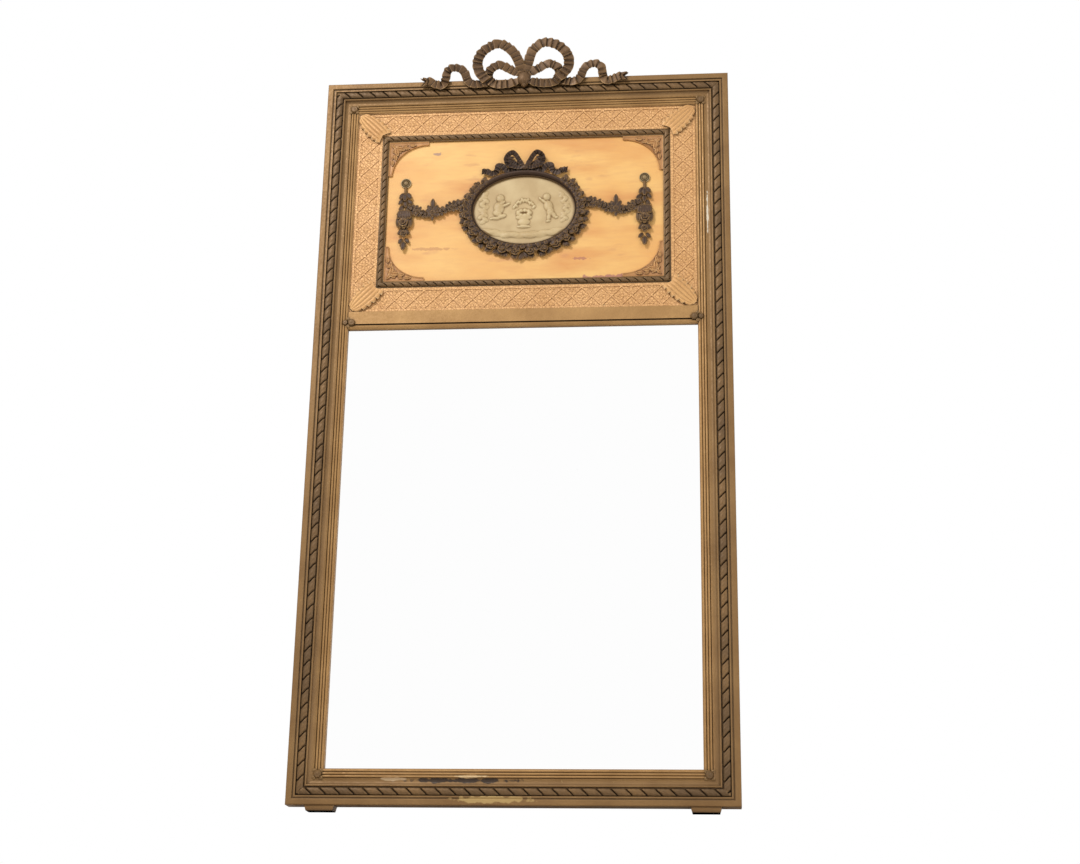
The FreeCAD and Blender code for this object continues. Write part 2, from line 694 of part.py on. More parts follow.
# ---- ornament of the panel --------------------------------------------------------------
def make_panel_borders():
    for side, turn, x, z, length in sides(SIGHT_X, CROSS_Z1, SIGHT_Z1):
        pieces["lattice_" + side] = turned(lattice_strip(length), turn, x, z)
    base_top = FIELD_D + PANEL_ROPE_BASE
    for side, turn, x, z, length in sides(INNER_X, INNER_Z0, INNER_Z1):
        face = section_face((0, FIELD_D), [
            (0, base_top), (INNER_FRAME_W, base_top), (INNER_FRAME_W, FIELD_D), (0, FIELD_D)])
        base = mitred(face, length, INNER_FRAME_W)
        rope = rope_strip(length, PANEL_ROPE_LIP, PANEL_ROPE_W, PANEL_ROPE_H, base_top,
                          PANEL_ROPE_PITCH, PANEL_ROPE_SKEW, PANEL_ROPE_CUT_W,
                          PANEL_ROPE_CUT_DEEP)
        pieces["panel_rope_" + side] = turned(base.fuse(rope).removeSplitter(), turn, x, z)


def make_leaves():
    """Acanthus leaves on the mitres of the border, root at the panel rope."""
    seat = LATTICE_TOP
    step = LEAF_LEN / (LEAF_LOBES + 1)
    root = LEAF_NOTCH * LEAF_HALF_W * math.sin(LEAF_SPREAD)
    edge = [(0.0, root)]
    for lobe in range(LEAF_LOBES):
        spread = LEAF_SPREAD + (math.pi - 1.4 * LEAF_SPREAD) * (lobe + 1) / (LEAF_LOBES + 1)
        swell = LEAF_HALF_W * math.sin(spread)
        edge.append(((lobe + 0.4) * step, 0.95 * swell))
        edge.append(((lobe + 0.75) * step, swell))
        edge.append(((lobe + 1) * step, LEAF_NOTCH * swell))
    lower = [(t, -w) for t, w in reversed(edge)]
    blade = prism(edge + [(LEAF_LEN, 0.0)] + lower, seat, seat + LEAF_T)
    gable = Part.Face(Part.makePolygon([
        at(-1, seat, -LEAF_HALF_W - 1), at(-1, seat + 0.3 * LEAF_T, -LEAF_HALF_W - 1),
        at(-1, seat + LEAF_T, 0), at(-1, seat + 0.3 * LEAF_T, LEAF_HALF_W + 1),
        at(-1, seat, LEAF_HALF_W + 1), at(-1, seat, -LEAF_HALF_W - 1),
    ])).extrude(FreeCAD.Vector(LEAF_LEN + 2, 0, 0))
    leaf = blade.common(gable)
    for name, turn, x, z in (("leaf_top_right", -45, INNER_X, INNER_Z1),
                             ("leaf_top_left", -135, -INNER_X, INNER_Z1),
                             ("leaf_bottom_left", 135, -INNER_X, INNER_Z0),
                             ("leaf_bottom_right", 45, INNER_X, INNER_Z0)):
        pieces[name] = turned(leaf, turn, x, z)


def make_spandrels():
    """Corner plates that leave the painted field with rounded corners."""
    reach = SPANDREL_X
    drop = SPANDREL_Z
    step = SPANDREL_STEP

    def plate(inset, low, high):
        points = [(0, 0), (reach, 0)]
        for index in range(SPANDREL_SIDES + 1):
            turn = 0.5 * math.pi * index / SPANDREL_SIDES
            points.append((reach - (reach - step + inset) * math.sin(turn),
                           drop - (drop - step + inset) * math.cos(turn)))
        return prism(points + [(0, drop)], FIELD_D + low, FIELD_D + high)

    raised = plate(0, 0, SPANDREL_T + SPANDREL_RIM_RISE)
    corner = raised.cut(plate(SPANDREL_RIM, SPANDREL_T, CLEAR))
    for side, x, sign in (("left", -FIELD_X, 1), ("right", FIELD_X, -1)):
        for level, z, up in (("bottom", FIELD_Z0, 1), ("top", FIELD_Z1, -1)):
            copy = corner.copy()
            if sign < 0:
                copy = copy.mirror(FreeCAD.Vector(0, 0, 0), FreeCAD.Vector(1, 0, 0))
            if up < 0:
                copy = copy.mirror(FreeCAD.Vector(0, 0, 0), FreeCAD.Vector(0, 0, 1))
            copy.translate(FreeCAD.Vector(x, 0, z))
            pieces["spandrel_%s_%s" % (level, side)] = copy


def make_medallion():
    top = FIELD_D + RING_H
    plaque_top = FIELD_D + PLAQUE_T
    rim_d = plaque_top - PLAQUE_DOME
    pieces["plaque"] = oval_solid([
        (RING_LIP - RING_GAP, FIELD_D),
        (RING_LIP - RING_GAP, rim_d),
        (-0.35 * PLAQUE_B, plaque_top - 0.4 * PLAQUE_DOME),
        (-0.7 * PLAQUE_B, plaque_top),
    ])
    pieces["medallion_moulding"] = oval_ring([
        (RING_W, FIELD_D),
        (RING_W, FIELD_D + 0.55 * RING_H),
        (0.75 * RING_W, top),
        (0.4 * RING_W, top),
        (0, FIELD_D + 0.45 * RING_H),
        (0, rim_d + RING_GAP),
        (RING_LIP, rim_d + RING_GAP),
        (RING_LIP, FIELD_D),
    ])


def make_wreath():
    core = oval_solid([(RING_W + RING_GAP, FIELD_D - 1), (RING_W + RING_GAP, FIELD_D + CLEAR)])
    flowers = []
    for index in range(WREATH_PETALS):
        share = index / (WREATH_PETALS - 1)
        angle = math.radians(-90 + WREATH_TOP_DEG * share)
        low = math.cos(math.radians(WREATH_TOP_DEG * share)) * 0.5 + 0.5
        radius = WREATH_SIDE_R * (0.8 + 0.25 * (index % 2)) * (1 - low) + WREATH_FOOT_R * low
        out = RING_W + 0.35 * radius
        x = (PLAQUE_A + out) * math.cos(angle)
        z = MED_Z + (PLAQUE_B + out) * math.sin(angle)
        height = WREATH_H * (0.75 + 0.25 * ((index + 1) % 2))
        flowers.append(blossom(x, z, radius, FIELD_D, height, turn=0.7 * index))
    run = fused(flowers).cut(core)
    run = run.common(box(0, 2 * PLAQUE_A, FIELD_D - 1, FIELD_D + CLEAR,
                         MED_Z - 3 * PLAQUE_B, MED_Z + 3 * PLAQUE_B))
    pieces["wreath_right"] = run
    pieces["wreath_left"] = mirrored(run)


def make_medallion_bow():
    """Two pointed loops and two short tails above the oval moulding."""
    low = MED_Z + PLAQUE_B + RING_W + RING_GAP
    loop = [(x, low + z) for x, z in zip(BOW_LOOP_X, BOW_LOOP_Z)]
    tail = [(x, low + z) for x, z in zip(BOW_TAIL_X, BOW_TAIL_Z)]
    half = prism(loop, FIELD_D, FIELD_D + BOW_H).fuse(prism(tail, FIELD_D, FIELD_D + 0.7 * BOW_H))
    keep = oval_solid([(RING_W + RING_GAP, FIELD_D - 1), (RING_W + RING_GAP, FIELD_D + CLEAR)])
    half = half.cut(keep)
    whole = half.fuse(mirrored(half))
    knot = boss(0, low + BOW_KNOT_Z, BOW_KNOT_R, FIELD_D, BOW_KNOT_H)
    pieces["medallion_bow"] = whole.fuse(knot.cut(keep)).removeSplitter()


def make_garlands():
    start = PLAQUE_A + SWAG_FROM_PLAQUE
    run = DROP_X - SWAG_TO_DROP - start
    flowers = [blossom(start + share * run, MED_Z + rise, radius, FIELD_D,
                       GARLAND_H * (0.8 + 0.2 * (i % 2)), turn=0.9 * i)
               for i, (share, rise, radius) in enumerate(zip(SWAG_SHARES, SWAG_RISE, SWAG_R))]
    pieces["swag_right"] = fused(flowers)
    pieces["swag_left"] = mirrored(pieces["swag_right"])

    top = MED_Z + DROP_Z
    button = boss(DROP_X, top, BUTTON_R, FIELD_D, BUTTON_H)
    stem = box(DROP_X - STEM_W / 2, DROP_X + STEM_W / 2, FIELD_D, FIELD_D + STEM_H,
               top - STEM_END, top - BUTTON_R / 2)
    flowers = [blossom(DROP_X + DROP_SWAY * (-1) ** i, top - fall, radius, FIELD_D,
                       GARLAND_H * (0.8 + 0.2 * (i % 2)), turn=0.9 * i)
               for i, (fall, radius) in enumerate(zip(DROP_FALL, DROP_R))]
    pieces["drop_right"] = fused([button, stem] + flowers)
    pieces["drop_left"] = mirrored(pieces["drop_right"])


# ---- bosses, crest and hangers ----------------------------------------------------------
def make_bosses():
    seat = REED_TOP + BOSS_GAP
    x = HALF_W - BOSS_IN
    rosettes = []
    bosses = []
    for sign in (-1, 1):
        for z in (Z0 + BOSS_IN, Z1 - BOSS_IN):
            rosettes.append(boss(sign * x, z, BOSS_R, seat, BOSS_H))
        z = CROSS_Z0 + BALL_Z
        ball = boss(sign * (SIGHT_X - BALL_X), z, BALL_R, seat, BALL_H)
        small = boss(sign * (SIGHT_X - SMALL_BALL_X), z, SMALL_BALL_R, seat, SMALL_BALL_H)
        bosses.append(ball.fuse(small).removeSplitter())
    pieces["corner_rosettes"] = Part.makeCompound(rosettes)
    pieces["cross_rail_bosses"] = Part.makeCompound(bosses)


def make_crest():
    knot = boss(CREST_X, Z1, KNOT_R, FRAME_D, KNOT_H)
    knob = boss(CREST_X, Z1 - KNOB_DROP, KNOB_R, FRAME_D, KNOB_H)
    knot = knot.fuse(knob).removeSplitter()
    big_loop = list(zip(BIG_LOOP_X, BIG_LOOP_Z))
    small_loop = list(zip(SMALL_LOOP_X, SMALL_LOOP_Z))
    tail_line = list(zip(TAIL_X, TAIL_Z))
    left = box(-2 * HALF_W, CREST_X, FRAME_D - 1, FRAME_D + CLEAR, 0, 2 * Z1)
    loops = ribbon(big_loop, RIBBON_W, start=RIBBON_NARROW).fuse(
        ribbon(small_loop, RIBBON_W, start=RIBBON_NARROW, end=RIBBON_NARROW))
    bow = biggest(loops.common(left).cut(knot))
    tail = biggest(ribbon(tail_line, TAIL_W, end=RIBBON_TIP).cut(bow))
    peg_z = Z1 - PEG_DROP
    pegs = [box(CREST_X + x - PEG_SIDE / 2, CREST_X + x + PEG_SIDE / 2, FRAME_D - PEG_IN_RAIL,
                FRAME_D + PEG_IN_CREST, peg_z - PEG_SIDE, peg_z) for x in PEG_X]
    for side, one in (("left", lambda s: s), ("right", lambda s: mirrored(s, CREST_X))):
        pieces["crest_bow_" + side] = one(bow).cut(pegs)
        pieces["crest_tail_" + side] = one(tail).cut(pegs)
    pieces["rail_top"] = pieces["rail_top"].cut(pegs)
    pieces["crest_knot"] = knot
    pieces["crest_pegs"] = Part.makeCompound(pegs)


def cross_pin(x, d, z, radius, length, count):
    """A round bar or bore along X, from x."""
    angles = [2 * math.pi * (index + 0.5) / count for index in range(count)]
    end = [at(x, d + radius * math.cos(a), z + radius * math.sin(a)) for a in angles]
    return facet(end).extrude(FreeCAD.Vector(length, 0, 0))


def hanger_ring(x, z):
    """A ring bent from round wire, hanging in its eye, flat along the wall."""
    loops = []
    for index in range(RING_SIDES):
        around = 2 * math.pi * index / RING_SIDES
        loop = []
        for corner in range(WIRE_SIDES):
            turn = 2 * math.pi * corner / WIRE_SIDES
            reach = RING_MEAN_R + RING_WIRE_R * math.cos(turn)
            loop.append(at(x + reach * math.sin(around), EYE_D + RING_WIRE_R * math.sin(turn),
                           z - RING_MEAN_R + reach * math.cos(around)))
        loops.append(loop)
    return faceted(loops, closed=True)


def make_hangers():
    screws = []
    for side, sign in (("left", -1), ("right", 1)):
        x = sign * (HALF_W - HANGER_IN)
        z = Z1 - HANGER_DOWN
        plate = box(x - PLATE_W / 2, x + PLATE_W / 2, -PLATE_T, 0,
                    z - PLATE_H / 2, z + PLATE_H / 2)
        post = box(x - EYE_W / 2, x + EYE_W / 2, EYE_D, 0, z - EYE_R, z + EYE_R)
        eye_x = x - EYE_W / 2
        barrel = cross_pin(eye_x, EYE_D, z, EYE_R, EYE_W, EYE_SIDES)
        bore = cross_pin(eye_x, EYE_D, z, EYE_BORE_R, EYE_W, EYE_SIDES)
        hanger = plate.fuse([post, barrel]).cut(bore)
        for shift in (-SCREW_Z, SCREW_Z):
            head = pin(x, z + shift, SCREW_HEAD_R, -PLATE_T - SCREW_HEAD_H, -PLATE_T)
            shank = pin(x, z + shift, SCREW_R, -PLATE_T, SCREW_LEN - PLATE_T)
            hole = pin(x, z + shift, SCREW_R + SCREW_PLAY, -PLATE_T,
                       SCREW_LEN - PLATE_T + SCREW_PLAY)
            screws.append(head.fuse(shank).removeSplitter())
            hanger = hanger.cut(hole)
            pieces["stile_" + side] = pieces["stile_" + side].cut(hole)
        pieces["hanger_plate_" + side] = hanger.removeSplitter()
        pieces["hanger_ring_" + side] = hanger_ring(x, z)
    pieces["hanger_screws"] = Part.makeCompound(screws)


make_frame()
make_keys()
make_cross_rail()
make_feet()
make_glass()
make_backing()
make_panel_borders()
make_leaves()
make_spandrels()
make_medallion()
make_wreath()
make_medallion_bow()
make_garlands()
make_bosses()
make_crest()
make_hangers()

os.makedirs("parts", exist_ok=True)
for name, shape in pieces.items():
    shape.exportStep("parts/%s.step" % name)
print(len(pieces), "pieces")
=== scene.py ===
import random
from math import atan2, cos, exp, pi, radians, sin, sqrt

import bpy
import numpy as np
from mathutils import Matrix, Vector


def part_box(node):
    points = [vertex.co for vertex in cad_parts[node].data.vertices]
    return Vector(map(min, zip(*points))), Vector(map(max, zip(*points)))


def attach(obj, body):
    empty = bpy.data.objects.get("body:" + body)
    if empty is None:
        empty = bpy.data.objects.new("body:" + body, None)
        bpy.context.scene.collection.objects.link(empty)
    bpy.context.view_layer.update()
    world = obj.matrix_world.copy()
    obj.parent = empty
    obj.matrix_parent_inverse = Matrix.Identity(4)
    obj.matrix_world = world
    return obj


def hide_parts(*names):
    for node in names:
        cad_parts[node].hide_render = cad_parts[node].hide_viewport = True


# Trumeau mirror: what its carver, gilder and painter did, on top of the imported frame.
# Metres. +Z is up, -Y is the front. Depths are counted forwards from the back of the frame.

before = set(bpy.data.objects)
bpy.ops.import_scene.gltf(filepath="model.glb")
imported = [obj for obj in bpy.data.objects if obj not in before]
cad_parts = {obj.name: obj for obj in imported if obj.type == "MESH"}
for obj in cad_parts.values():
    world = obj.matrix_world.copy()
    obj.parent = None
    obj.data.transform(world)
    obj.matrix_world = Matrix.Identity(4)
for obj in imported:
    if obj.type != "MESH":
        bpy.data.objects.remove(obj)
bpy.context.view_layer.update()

MM = 0.001
TAU = 2 * pi


def middle(node):
    low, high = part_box(node)
    return (low + high) / 2


# ---- places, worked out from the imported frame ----
FRONT_LOW, BACK_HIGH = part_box("stile_left")
HALF_W = -FRONT_LOW.x
BACK_Y = BACK_HIGH.y
FRONT_Y = FRONT_LOW.y
BOTTOM_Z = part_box("rail_bottom")[0].z
TOP_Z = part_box("rail_top")[1].z
CREST = Vector((middle("crest_knot").x, FRONT_Y, TOP_Z))
FIELD_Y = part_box("panel_board")[0].y
PLAQUE = middle("plaque")
RING_W = 13 * MM
OVAL_LOW, OVAL_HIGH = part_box("medallion_moulding")
PLAQUE_A = (OVAL_HIGH.x - OVAL_LOW.x) / 2 - RING_W
PLAQUE_B = (OVAL_HIGH.z - OVAL_LOW.z) / 2 - RING_W
DROP_X = middle("drop_right").x


# ---- small tools ----
def alone():
    if bpy.context.object and bpy.context.object.mode != "OBJECT":
        bpy.ops.object.mode_set(mode="OBJECT")
    bpy.ops.object.select_all(action="DESELECT")


def only(piece):
    alone()
    bpy.context.view_layer.objects.active = piece
    piece.select_set(True)


def primitive(name, operator, **settings):
    """A mesh primitive with its place worked into its mesh."""
    alone()
    operator(**settings)
    piece = bpy.context.object
    piece.name = name
    bpy.ops.object.transform_apply(location=True, rotation=True, scale=True)
    return piece


def grid(name, columns, rows, rule):
    """A grid primitive whose points go where a rule of two shares puts them."""
    piece = primitive(name, bpy.ops.mesh.primitive_grid_add,
                      x_subdivisions=columns, y_subdivisions=rows, size=1)
    for point in piece.data.vertices:
        point.co = rule(point.co.x + 0.5, point.co.y + 0.5)
    return piece


def editing(piece):
    """Opens a piece in edit mode, all of it selected."""
    only(piece)
    bpy.ops.object.mode_set(mode="EDIT")
    bpy.ops.mesh.select_all(action="SELECT")


def closed(piece):
    """Welds the seams, fills the open ends and turns the faces outwards."""
    editing(piece)
    bpy.ops.mesh.remove_doubles(threshold=1e-6)
    bpy.ops.mesh.fill_holes(sides=0)
    bpy.ops.mesh.select_all(action="SELECT")
    bpy.ops.mesh.normals_make_consistent(inside=False)
    alone()
    return piece


def mitred(piece, length):
    """Cuts both ends of a bottom run at 45 degrees."""
    for way in (1, -1):
        editing(piece)
        bpy.ops.mesh.bisect(plane_co=(way * length / 2, 0, 0), plane_no=(way, 0, 1),
                            use_fill=True, clear_outer=True)
    alone()
    return piece


def modified(piece, kind, **settings):
    only(piece)
    modifier = piece.modifiers.new(kind.title(), kind)
    for key, value in settings.items():
        setattr(modifier, key, value)
    bpy.ops.object.modifier_apply(modifier=modifier.name)
    return piece


def laid(piece, x, z, y, turn=0.0, size=1.0, lift=0.0, deep=1.0):
    """A copy of a part modelled along +X and facing -Y: turn is anticlockwise, lift outwards."""
    twin = piece.copy()
    twin.data = piece.data.copy()
    twin.data.transform(Matrix.Translation((x, y, z)) @ Matrix.Rotation(-turn, 4, "Y")
                        @ Matrix.Rotation(-lift, 4, "Z") @ Matrix.Scale(size, 4)
                        @ Matrix.Diagonal((1, deep, 1, 1)))
    bpy.context.collection.objects.link(twin)
    return twin


def joined(name, parts):
    only(parts[0])
    for part in parts[1:]:
        part.select_set(True)
    if len(parts) > 1:
        bpy.ops.object.join()
    piece = bpy.context.object
    piece.name = name
    return piece


def discard(*patterns):
    for pattern in patterns:
        bpy.data.objects.remove(pattern)


def dressed(piece, material, slot, *nodes, smooth=40):
    """Gives a finished piece its material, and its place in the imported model."""
    only(piece)
    piece.data.materials.clear()
    piece.data.materials.append(material)
    bpy.ops.object.shade_smooth_by_angle(angle=radians(smooth))
    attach(piece, "mirror")
    if nodes:
        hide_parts(*nodes)
    return piece


def sides_of(stem, seat_y):
    """The sides of a frame of four nodes: name, length, and where a bottom run goes on each."""
    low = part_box(stem + "_left")[0]
    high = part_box(stem + "_right")[1]
    centre = (low + high) / 2
    for quarter, side in enumerate(("bottom", "right", "top", "left")):
        length, other = high.x - low.x, high.z - low.z
        if quarter % 2:
            length, other = other, length
        yield side, length, (Matrix.Translation((centre.x, seat_y, centre.z))
                             @ Matrix.Rotation(-pi / 2 * quarter, 4, "Y")
                             @ Matrix.Translation((0, 0, -other / 2)))


# ---- camera, light and floor ----
def placed(name, data, matrix):
    thing = bpy.data.objects.new(name, data)
    thing.matrix_world = matrix
    bpy.context.collection.objects.link(thing)
    return thing


def set_camera():
    data = bpy.data.cameras.new("camera")
    data.sensor_width = 36
    data.lens = 60.25
    forward = Vector((-0.0896, 0.9420, 0.3235)).normalized()
    up = Vector((0.0134, -0.3236, 0.9461)).normalized()
    right = forward.cross(up).normalized()
    turn = Matrix((right, right.cross(forward), -forward)).transposed().to_4x4()
    spot = Matrix.Translation((0.35831, -3.34107, -0.41140))
    bpy.context.scene.camera = placed("camera", data, spot @ turn)


def lamp(name, spot, target, size, power):
    data = bpy.data.lights.new(name, "AREA")
    data.shape = "DISK"
    data.size = size
    data.energy = power
    turn = (Vector(target) - Vector(spot)).to_track_quat("-Z", "Y").to_matrix().to_4x4()
    placed(name, data, Matrix.Translation(spot) @ turn)


def paint(code):
    """An sRGB hex colour as the linear values that a shader takes."""
    values = [int(code[i:i + 2], 16) / 255 for i in (0, 2, 4)]
    return [v / 12.92 if v <= 0.04045 else ((v + 0.055) / 1.055) ** 2.4 for v in values] + [1.0]


def fill(tree, socket, value):
    """Gives an input a link, a hex colour or a plain value."""
    if isinstance(value, bpy.types.NodeSocket):
        tree.links.new(value, socket)
    elif value is not None:
        socket.default_value = paint(value) if isinstance(value, str) else value


def add(tree, kind, inputs=None, out=0, **settings):
    """Adds a shader node with its settings and inputs, and gives one of its outputs."""
    made = tree.nodes.new("ShaderNode" + kind)
    for key, value in settings.items():
        setattr(made, key, value)
    for key, value in (inputs or {}).items():
        fill(tree, made.inputs[key], value)
    return made.outputs[out] if made.outputs else None


def set_world():
    """Soft light from all round, and plain white where the camera or the glass sees it."""
    world = bpy.data.worlds.new("studio")
    world.use_nodes = True
    tree = world.node_tree
    tree.nodes.clear()
    path = add(tree, "LightPath").node.outputs
    seen = path["Is Camera Ray"]
    for ray in ("Is Glossy Ray", "Is Transmission Ray"):
        seen = add(tree, "Math", {0: seen, 1: path[ray]}, operation="MAXIMUM")
    soft = add(tree, "Background", {"Color": "ffffff", "Strength": 0.4})
    white = add(tree, "Background", {"Color": "ffffff", "Strength": 1.0})
    add(tree, "OutputWorld", {"Surface": add(tree, "MixShader", {0: seen, 1: soft, 2: white})})
    bpy.context.scene.world = world


def set_floor():
    """A pale floor that is seen from above only, because the camera stands below it."""
    floor = primitive("floor", bpy.ops.mesh.primitive_plane_add, size=12)
    material = bpy.data.materials.new("pale_floor")
    material.use_nodes = True
    tree = material.node_tree
    tree.nodes.clear()
    hidden = add(tree, "Math", {0: add(tree, "LightPath", out="Is Camera Ray"),
                                1: add(tree, "NewGeometry", out="Backfacing")},
                 operation="MULTIPLY")
    pale = add(tree, "BsdfDiffuse", {"Color": "f4f3f1"})
    mix = add(tree, "MixShader", {0: hidden, 1: pale, 2: add(tree, "BsdfTransparent")})
    add(tree, "OutputMaterial", {"Surface": mix})
    floor.data.materials.append(material)


# ---- materials ----
def blank(name):
    material = bpy.data.materials.new(name)
    material.use_nodes = True
    return material, material.node_tree, add(material.node_tree, "TexCoord", out="Object")


def surfaced(material, colour, rough, metal=0.0, height=None, strength=0.0, deep_mm=0.0):
    """Gives a material its colour, roughness and metalness, and a fine relief if it has one."""
    tree = material.node_tree
    if height is not None:
        height = add(tree, "Bump", {"Height": height, "Strength": strength,
                                    "Distance": deep_mm * MM})
    for key, value in (("Base Color", colour), ("Roughness", rough), ("Metallic", metal),
                       ("Normal", height)):
        fill(tree, tree.nodes["Principled BSDF"].inputs[key], value)
    return material


def layered(tree, colour, coats):
    """A colour under coats. A coat is a source, the two ends of its range, the share of the coat
    that shows at each end, and the colour of the coat."""
    for source, low, high, at_low, at_high, coat in coats:
        share = add(tree, "MapRange", {0: source, 1: low, 2: high, 3: at_low, 4: at_high})
        colour = add(tree, "Mix", {0: share, 6: colour, 7: coat}, out=2, data_type="RGBA")
    return colour


def mottling(tree, place, size_mm, detail=3.0, stretch=None):
    """Spots about size_mm across, drawn out along the axes where stretch is small."""
    if stretch:
        place = add(tree, "Mapping", {0: place, 3: stretch})
    return add(tree, "TexNoise", {"Vector": place, "Scale": 1000.0 / size_mm, "Detail": detail})


def inside_frame(tree, place):
    """How far in from its sides, and from its nearest edge, a point of the frame lies."""
    spot = add(tree, "SeparateXYZ", {0: place}).node.outputs
    side = add(tree, "Math", {0: spot["X"]}, operation="ABSOLUTE")
    side = add(tree, "Math", {0: HALF_W, 1: side}, operation="SUBTRACT")
    near = side
    for above, below in ((spot["Z"], BOTTOM_Z), (TOP_Z, spot["Z"])):
        other = add(tree, "Math", {0: above, 1: below}, operation="SUBTRACT")
        near = add(tree, "Math", {0: near, 1: other}, operation="MINIMUM")
    return side, near


def ragged_marks(tree, place, marks):
    """Coats for ragged marks: centre and half size in metres, colour, and raggedness in mm."""
    coats = []
    for centre, half, colour, ragged_mm in marks:
        gap = add(tree, "VectorMath", {0: place, 1: centre}, operation="SUBTRACT")
        gap = add(tree, "VectorMath", {0: gap, 1: half}, operation="DIVIDE")
        reach = add(tree, "VectorMath", {0: gap}, out="Value", operation="LENGTH")
        reach = add(tree, "Math", {0: mottling(tree, place, ragged_mm, 6), 1: 2.4, 2: reach},
                    operation="MULTIPLY_ADD")
        coats.append((reach, 1.9, 2.15, 1, 0, colour))
    return coats


def bare_behind(tree, place, frame_sides=False):
    """A coat of old pine on the faces that look backwards, which were never gilded or painted."""
    grain = mottling(tree, place, 9, 5, (0.04, 1.0, 1.0))
    if frame_sides:
        # The grain runs along each side of the frame as far as its mitres.
        side, near = inside_frame(tree, place)
        upright = add(tree, "Math", {0: side, 1: near}, operation="SUBTRACT")
        upright = add(tree, "MapRange", {0: upright, 2: 0.1 * MM, 3: 1.0, 4: 0.0})
        standing = mottling(tree, place, 9, 5, (1.0, 1.0, 0.04))
        grain = add(tree, "Mix", {0: upright, 2: grain, 3: standing})
    wood = layered(tree, "ad8654", [(grain, 0.3, 0.75, 0, 1, "805b33")])
    backwards = add(tree, "SeparateXYZ", {0: add(tree, "TexCoord", out="Normal")}, out="Y")
    return backwards, 0.6, 0.8, 0, 1, wood


def bronze_gilding(name, high, plain, deep, soil_and_shade_mm, metal=0.35, grain=1.0, rubbed_and_highlight=None,
                   on_frame=False, tracery=False, no_shade_or_dirt_above=0.92):
    """Bronze powder gilding on carved gesso: dull metal, brown in the hollows with dirt and painted
    shade.
    """
    material, tree, place = blank(name)
    hollow = add(tree, "AmbientOcclusion", {"Distance": soil_and_shade_mm * MM}, out="AO", samples=6)
    specks = height = mottling(tree, place, 5, 4)
    coats = [(mottling(tree, place, 70, 4), 0.35, 0.7, 0, 1, high),
             (specks, 0.3, 0.75, 0.6, 0, plain)]
    if tracery:
        # Fine cast tendrils between the flowers, about 6 mm apart.
        cells = add(tree, "TexVoronoi", {"Vector": place, "Scale": 1000 / 6.0}, out="Distance",
                    feature="DISTANCE_TO_EDGE")
        lines = add(tree, "MapRange", {0: cells, 1: 0.02, 2: 0.2})
        coats.append((lines, 0, 1, 0.45, 0, deep))
        height = add(tree, "Math", {0: specks, 1: lines}, operation="ADD")
    if rubbed_and_highlight:
        # Rubbed bright with a painted highlight on the ridges, and dark with painted shade in the
        # creases.
        ridges = add(tree, "NewGeometry", out="Pointiness")
        coats += [(ridges, 0.53, 0.68, 0, 0.9, rubbed_and_highlight), (ridges, 0.38, 0.5, 1, 0, deep)]
    colour = layered(tree, plain, coats)
    if on_frame:
        # The outer band is worn dark by hands, and painted shade darkens the hollow behind the
        # reeds.
        share = add(tree, "MapRange", {0: inside_frame(tree, place)[1], 2: 80 * MM})
        ramp = add(tree, "ValToRGB", {0: share})
        bar = ramp.node.color_ramp.elements
        for at_mm, shade in ((14, 0.62), (33, 0.9), (38, 0.55), (47, 0.72), (53, 1.0)):
            bar.new(at_mm / 80).color = (shade, shade, shade, 1)
        bar[0].color = (0.62, 0.6, 0.55, 1)
        colour = add(tree, "Mix", {0: 1.0, 6: colour, 7: ramp}, out=2, data_type="RGBA",
                     blend_type="MULTIPLY")
    # Painted shade and dirt: hollows found by ambient occlusion darken towards the deep colour.
    coats = [(hollow, 0.3, no_shade_or_dirt_above, 1, 0, deep),
             (mottling(tree, place, 16, 5), 0.735, 0.76, 0, 1, "b0905c")]
    if on_frame:
        # Bare gesso and grime on the bottom rail, and a chip down the right stile.
        coats += ragged_marks(tree, place, (
            ((-0.035, -0.015, 0.021), (0.075, 0.03, 0.0075), "b3945c", 14),
            ((-0.10, -0.008, 0.056), (0.12, 0.02, 0.0055), "3a2a1b", 14),
            ((-0.225, -0.008, 0.059), (0.04, 0.02, 0.004), "bfa27c", 14),
            ((-0.08, -0.008, 0.064), (0.035, 0.02, 0.0035), "c9ab7e", 14),
            ((0.374, -0.012, 1.194), (0.002, 0.02, 0.05), "d8ccb6", 14)))
        coats.append(bare_behind(tree, place, frame_sides=True))
    rough = add(tree, "MapRange", {0: specks, 1: 0.3, 2: 0.7, 3: 0.42, 4: 0.62})
    return surfaced(material, layered(tree, colour, coats), rough, metal, height, 0.35 * grain, 0.6)


def painted_field():
    """Oil paint on board, brushed sideways: amber with orange streaks, a violet scuff below."""
    material, tree, place = blank("amber_oil_paint")
    streaks = mottling(tree, place, 55, 6, (0.25, 1.0, 1.0))
    clouds = mottling(tree, place, 120, 3, (0.6, 1.0, 1.0))
    fine = mottling(tree, place, 7, 4, (0.2, 1.0, 1.0))
    worn = mottling(tree, place, 22, 5, (0.3, 1.0, 1.0))
    coats = [(clouds, 0.38, 0.62, 0, 1, "f5c375"), (streaks, 0.5, 0.68, 0, 0.85, "dc9450"),
             (fine, 0.42, 0.8, 0, 0.45, "e3a868")]
    coats += ragged_marks(tree, place, (
        ((0.20, FIELD_Y, 1.062), (0.10, 0.02, 0.009), "b97f66", 12),
        ((0.03, FIELD_Y, 1.058), (0.17, 0.02, 0.004), "b9805c", 9),
        ((0.115, FIELD_Y, 1.107), (0.022, 0.02, 0.0035), "c0805a", 6),
        ((-0.184, FIELD_Y, 1.351), (0.010, 0.02, 0.004), "b08a70", 6),
        ((-0.19, FIELD_Y, 1.135), (0.05, 0.02, 0.004), "d29a5c", 9)))
    coats += [(worn, 0.62, 0.72, 0, 0.5, "cf8f5e"), bare_behind(tree, place)]
    return surfaced(material, layered(tree, "ecb064", coats), 0.5, 0.0, fine, 0.2, 0.3)


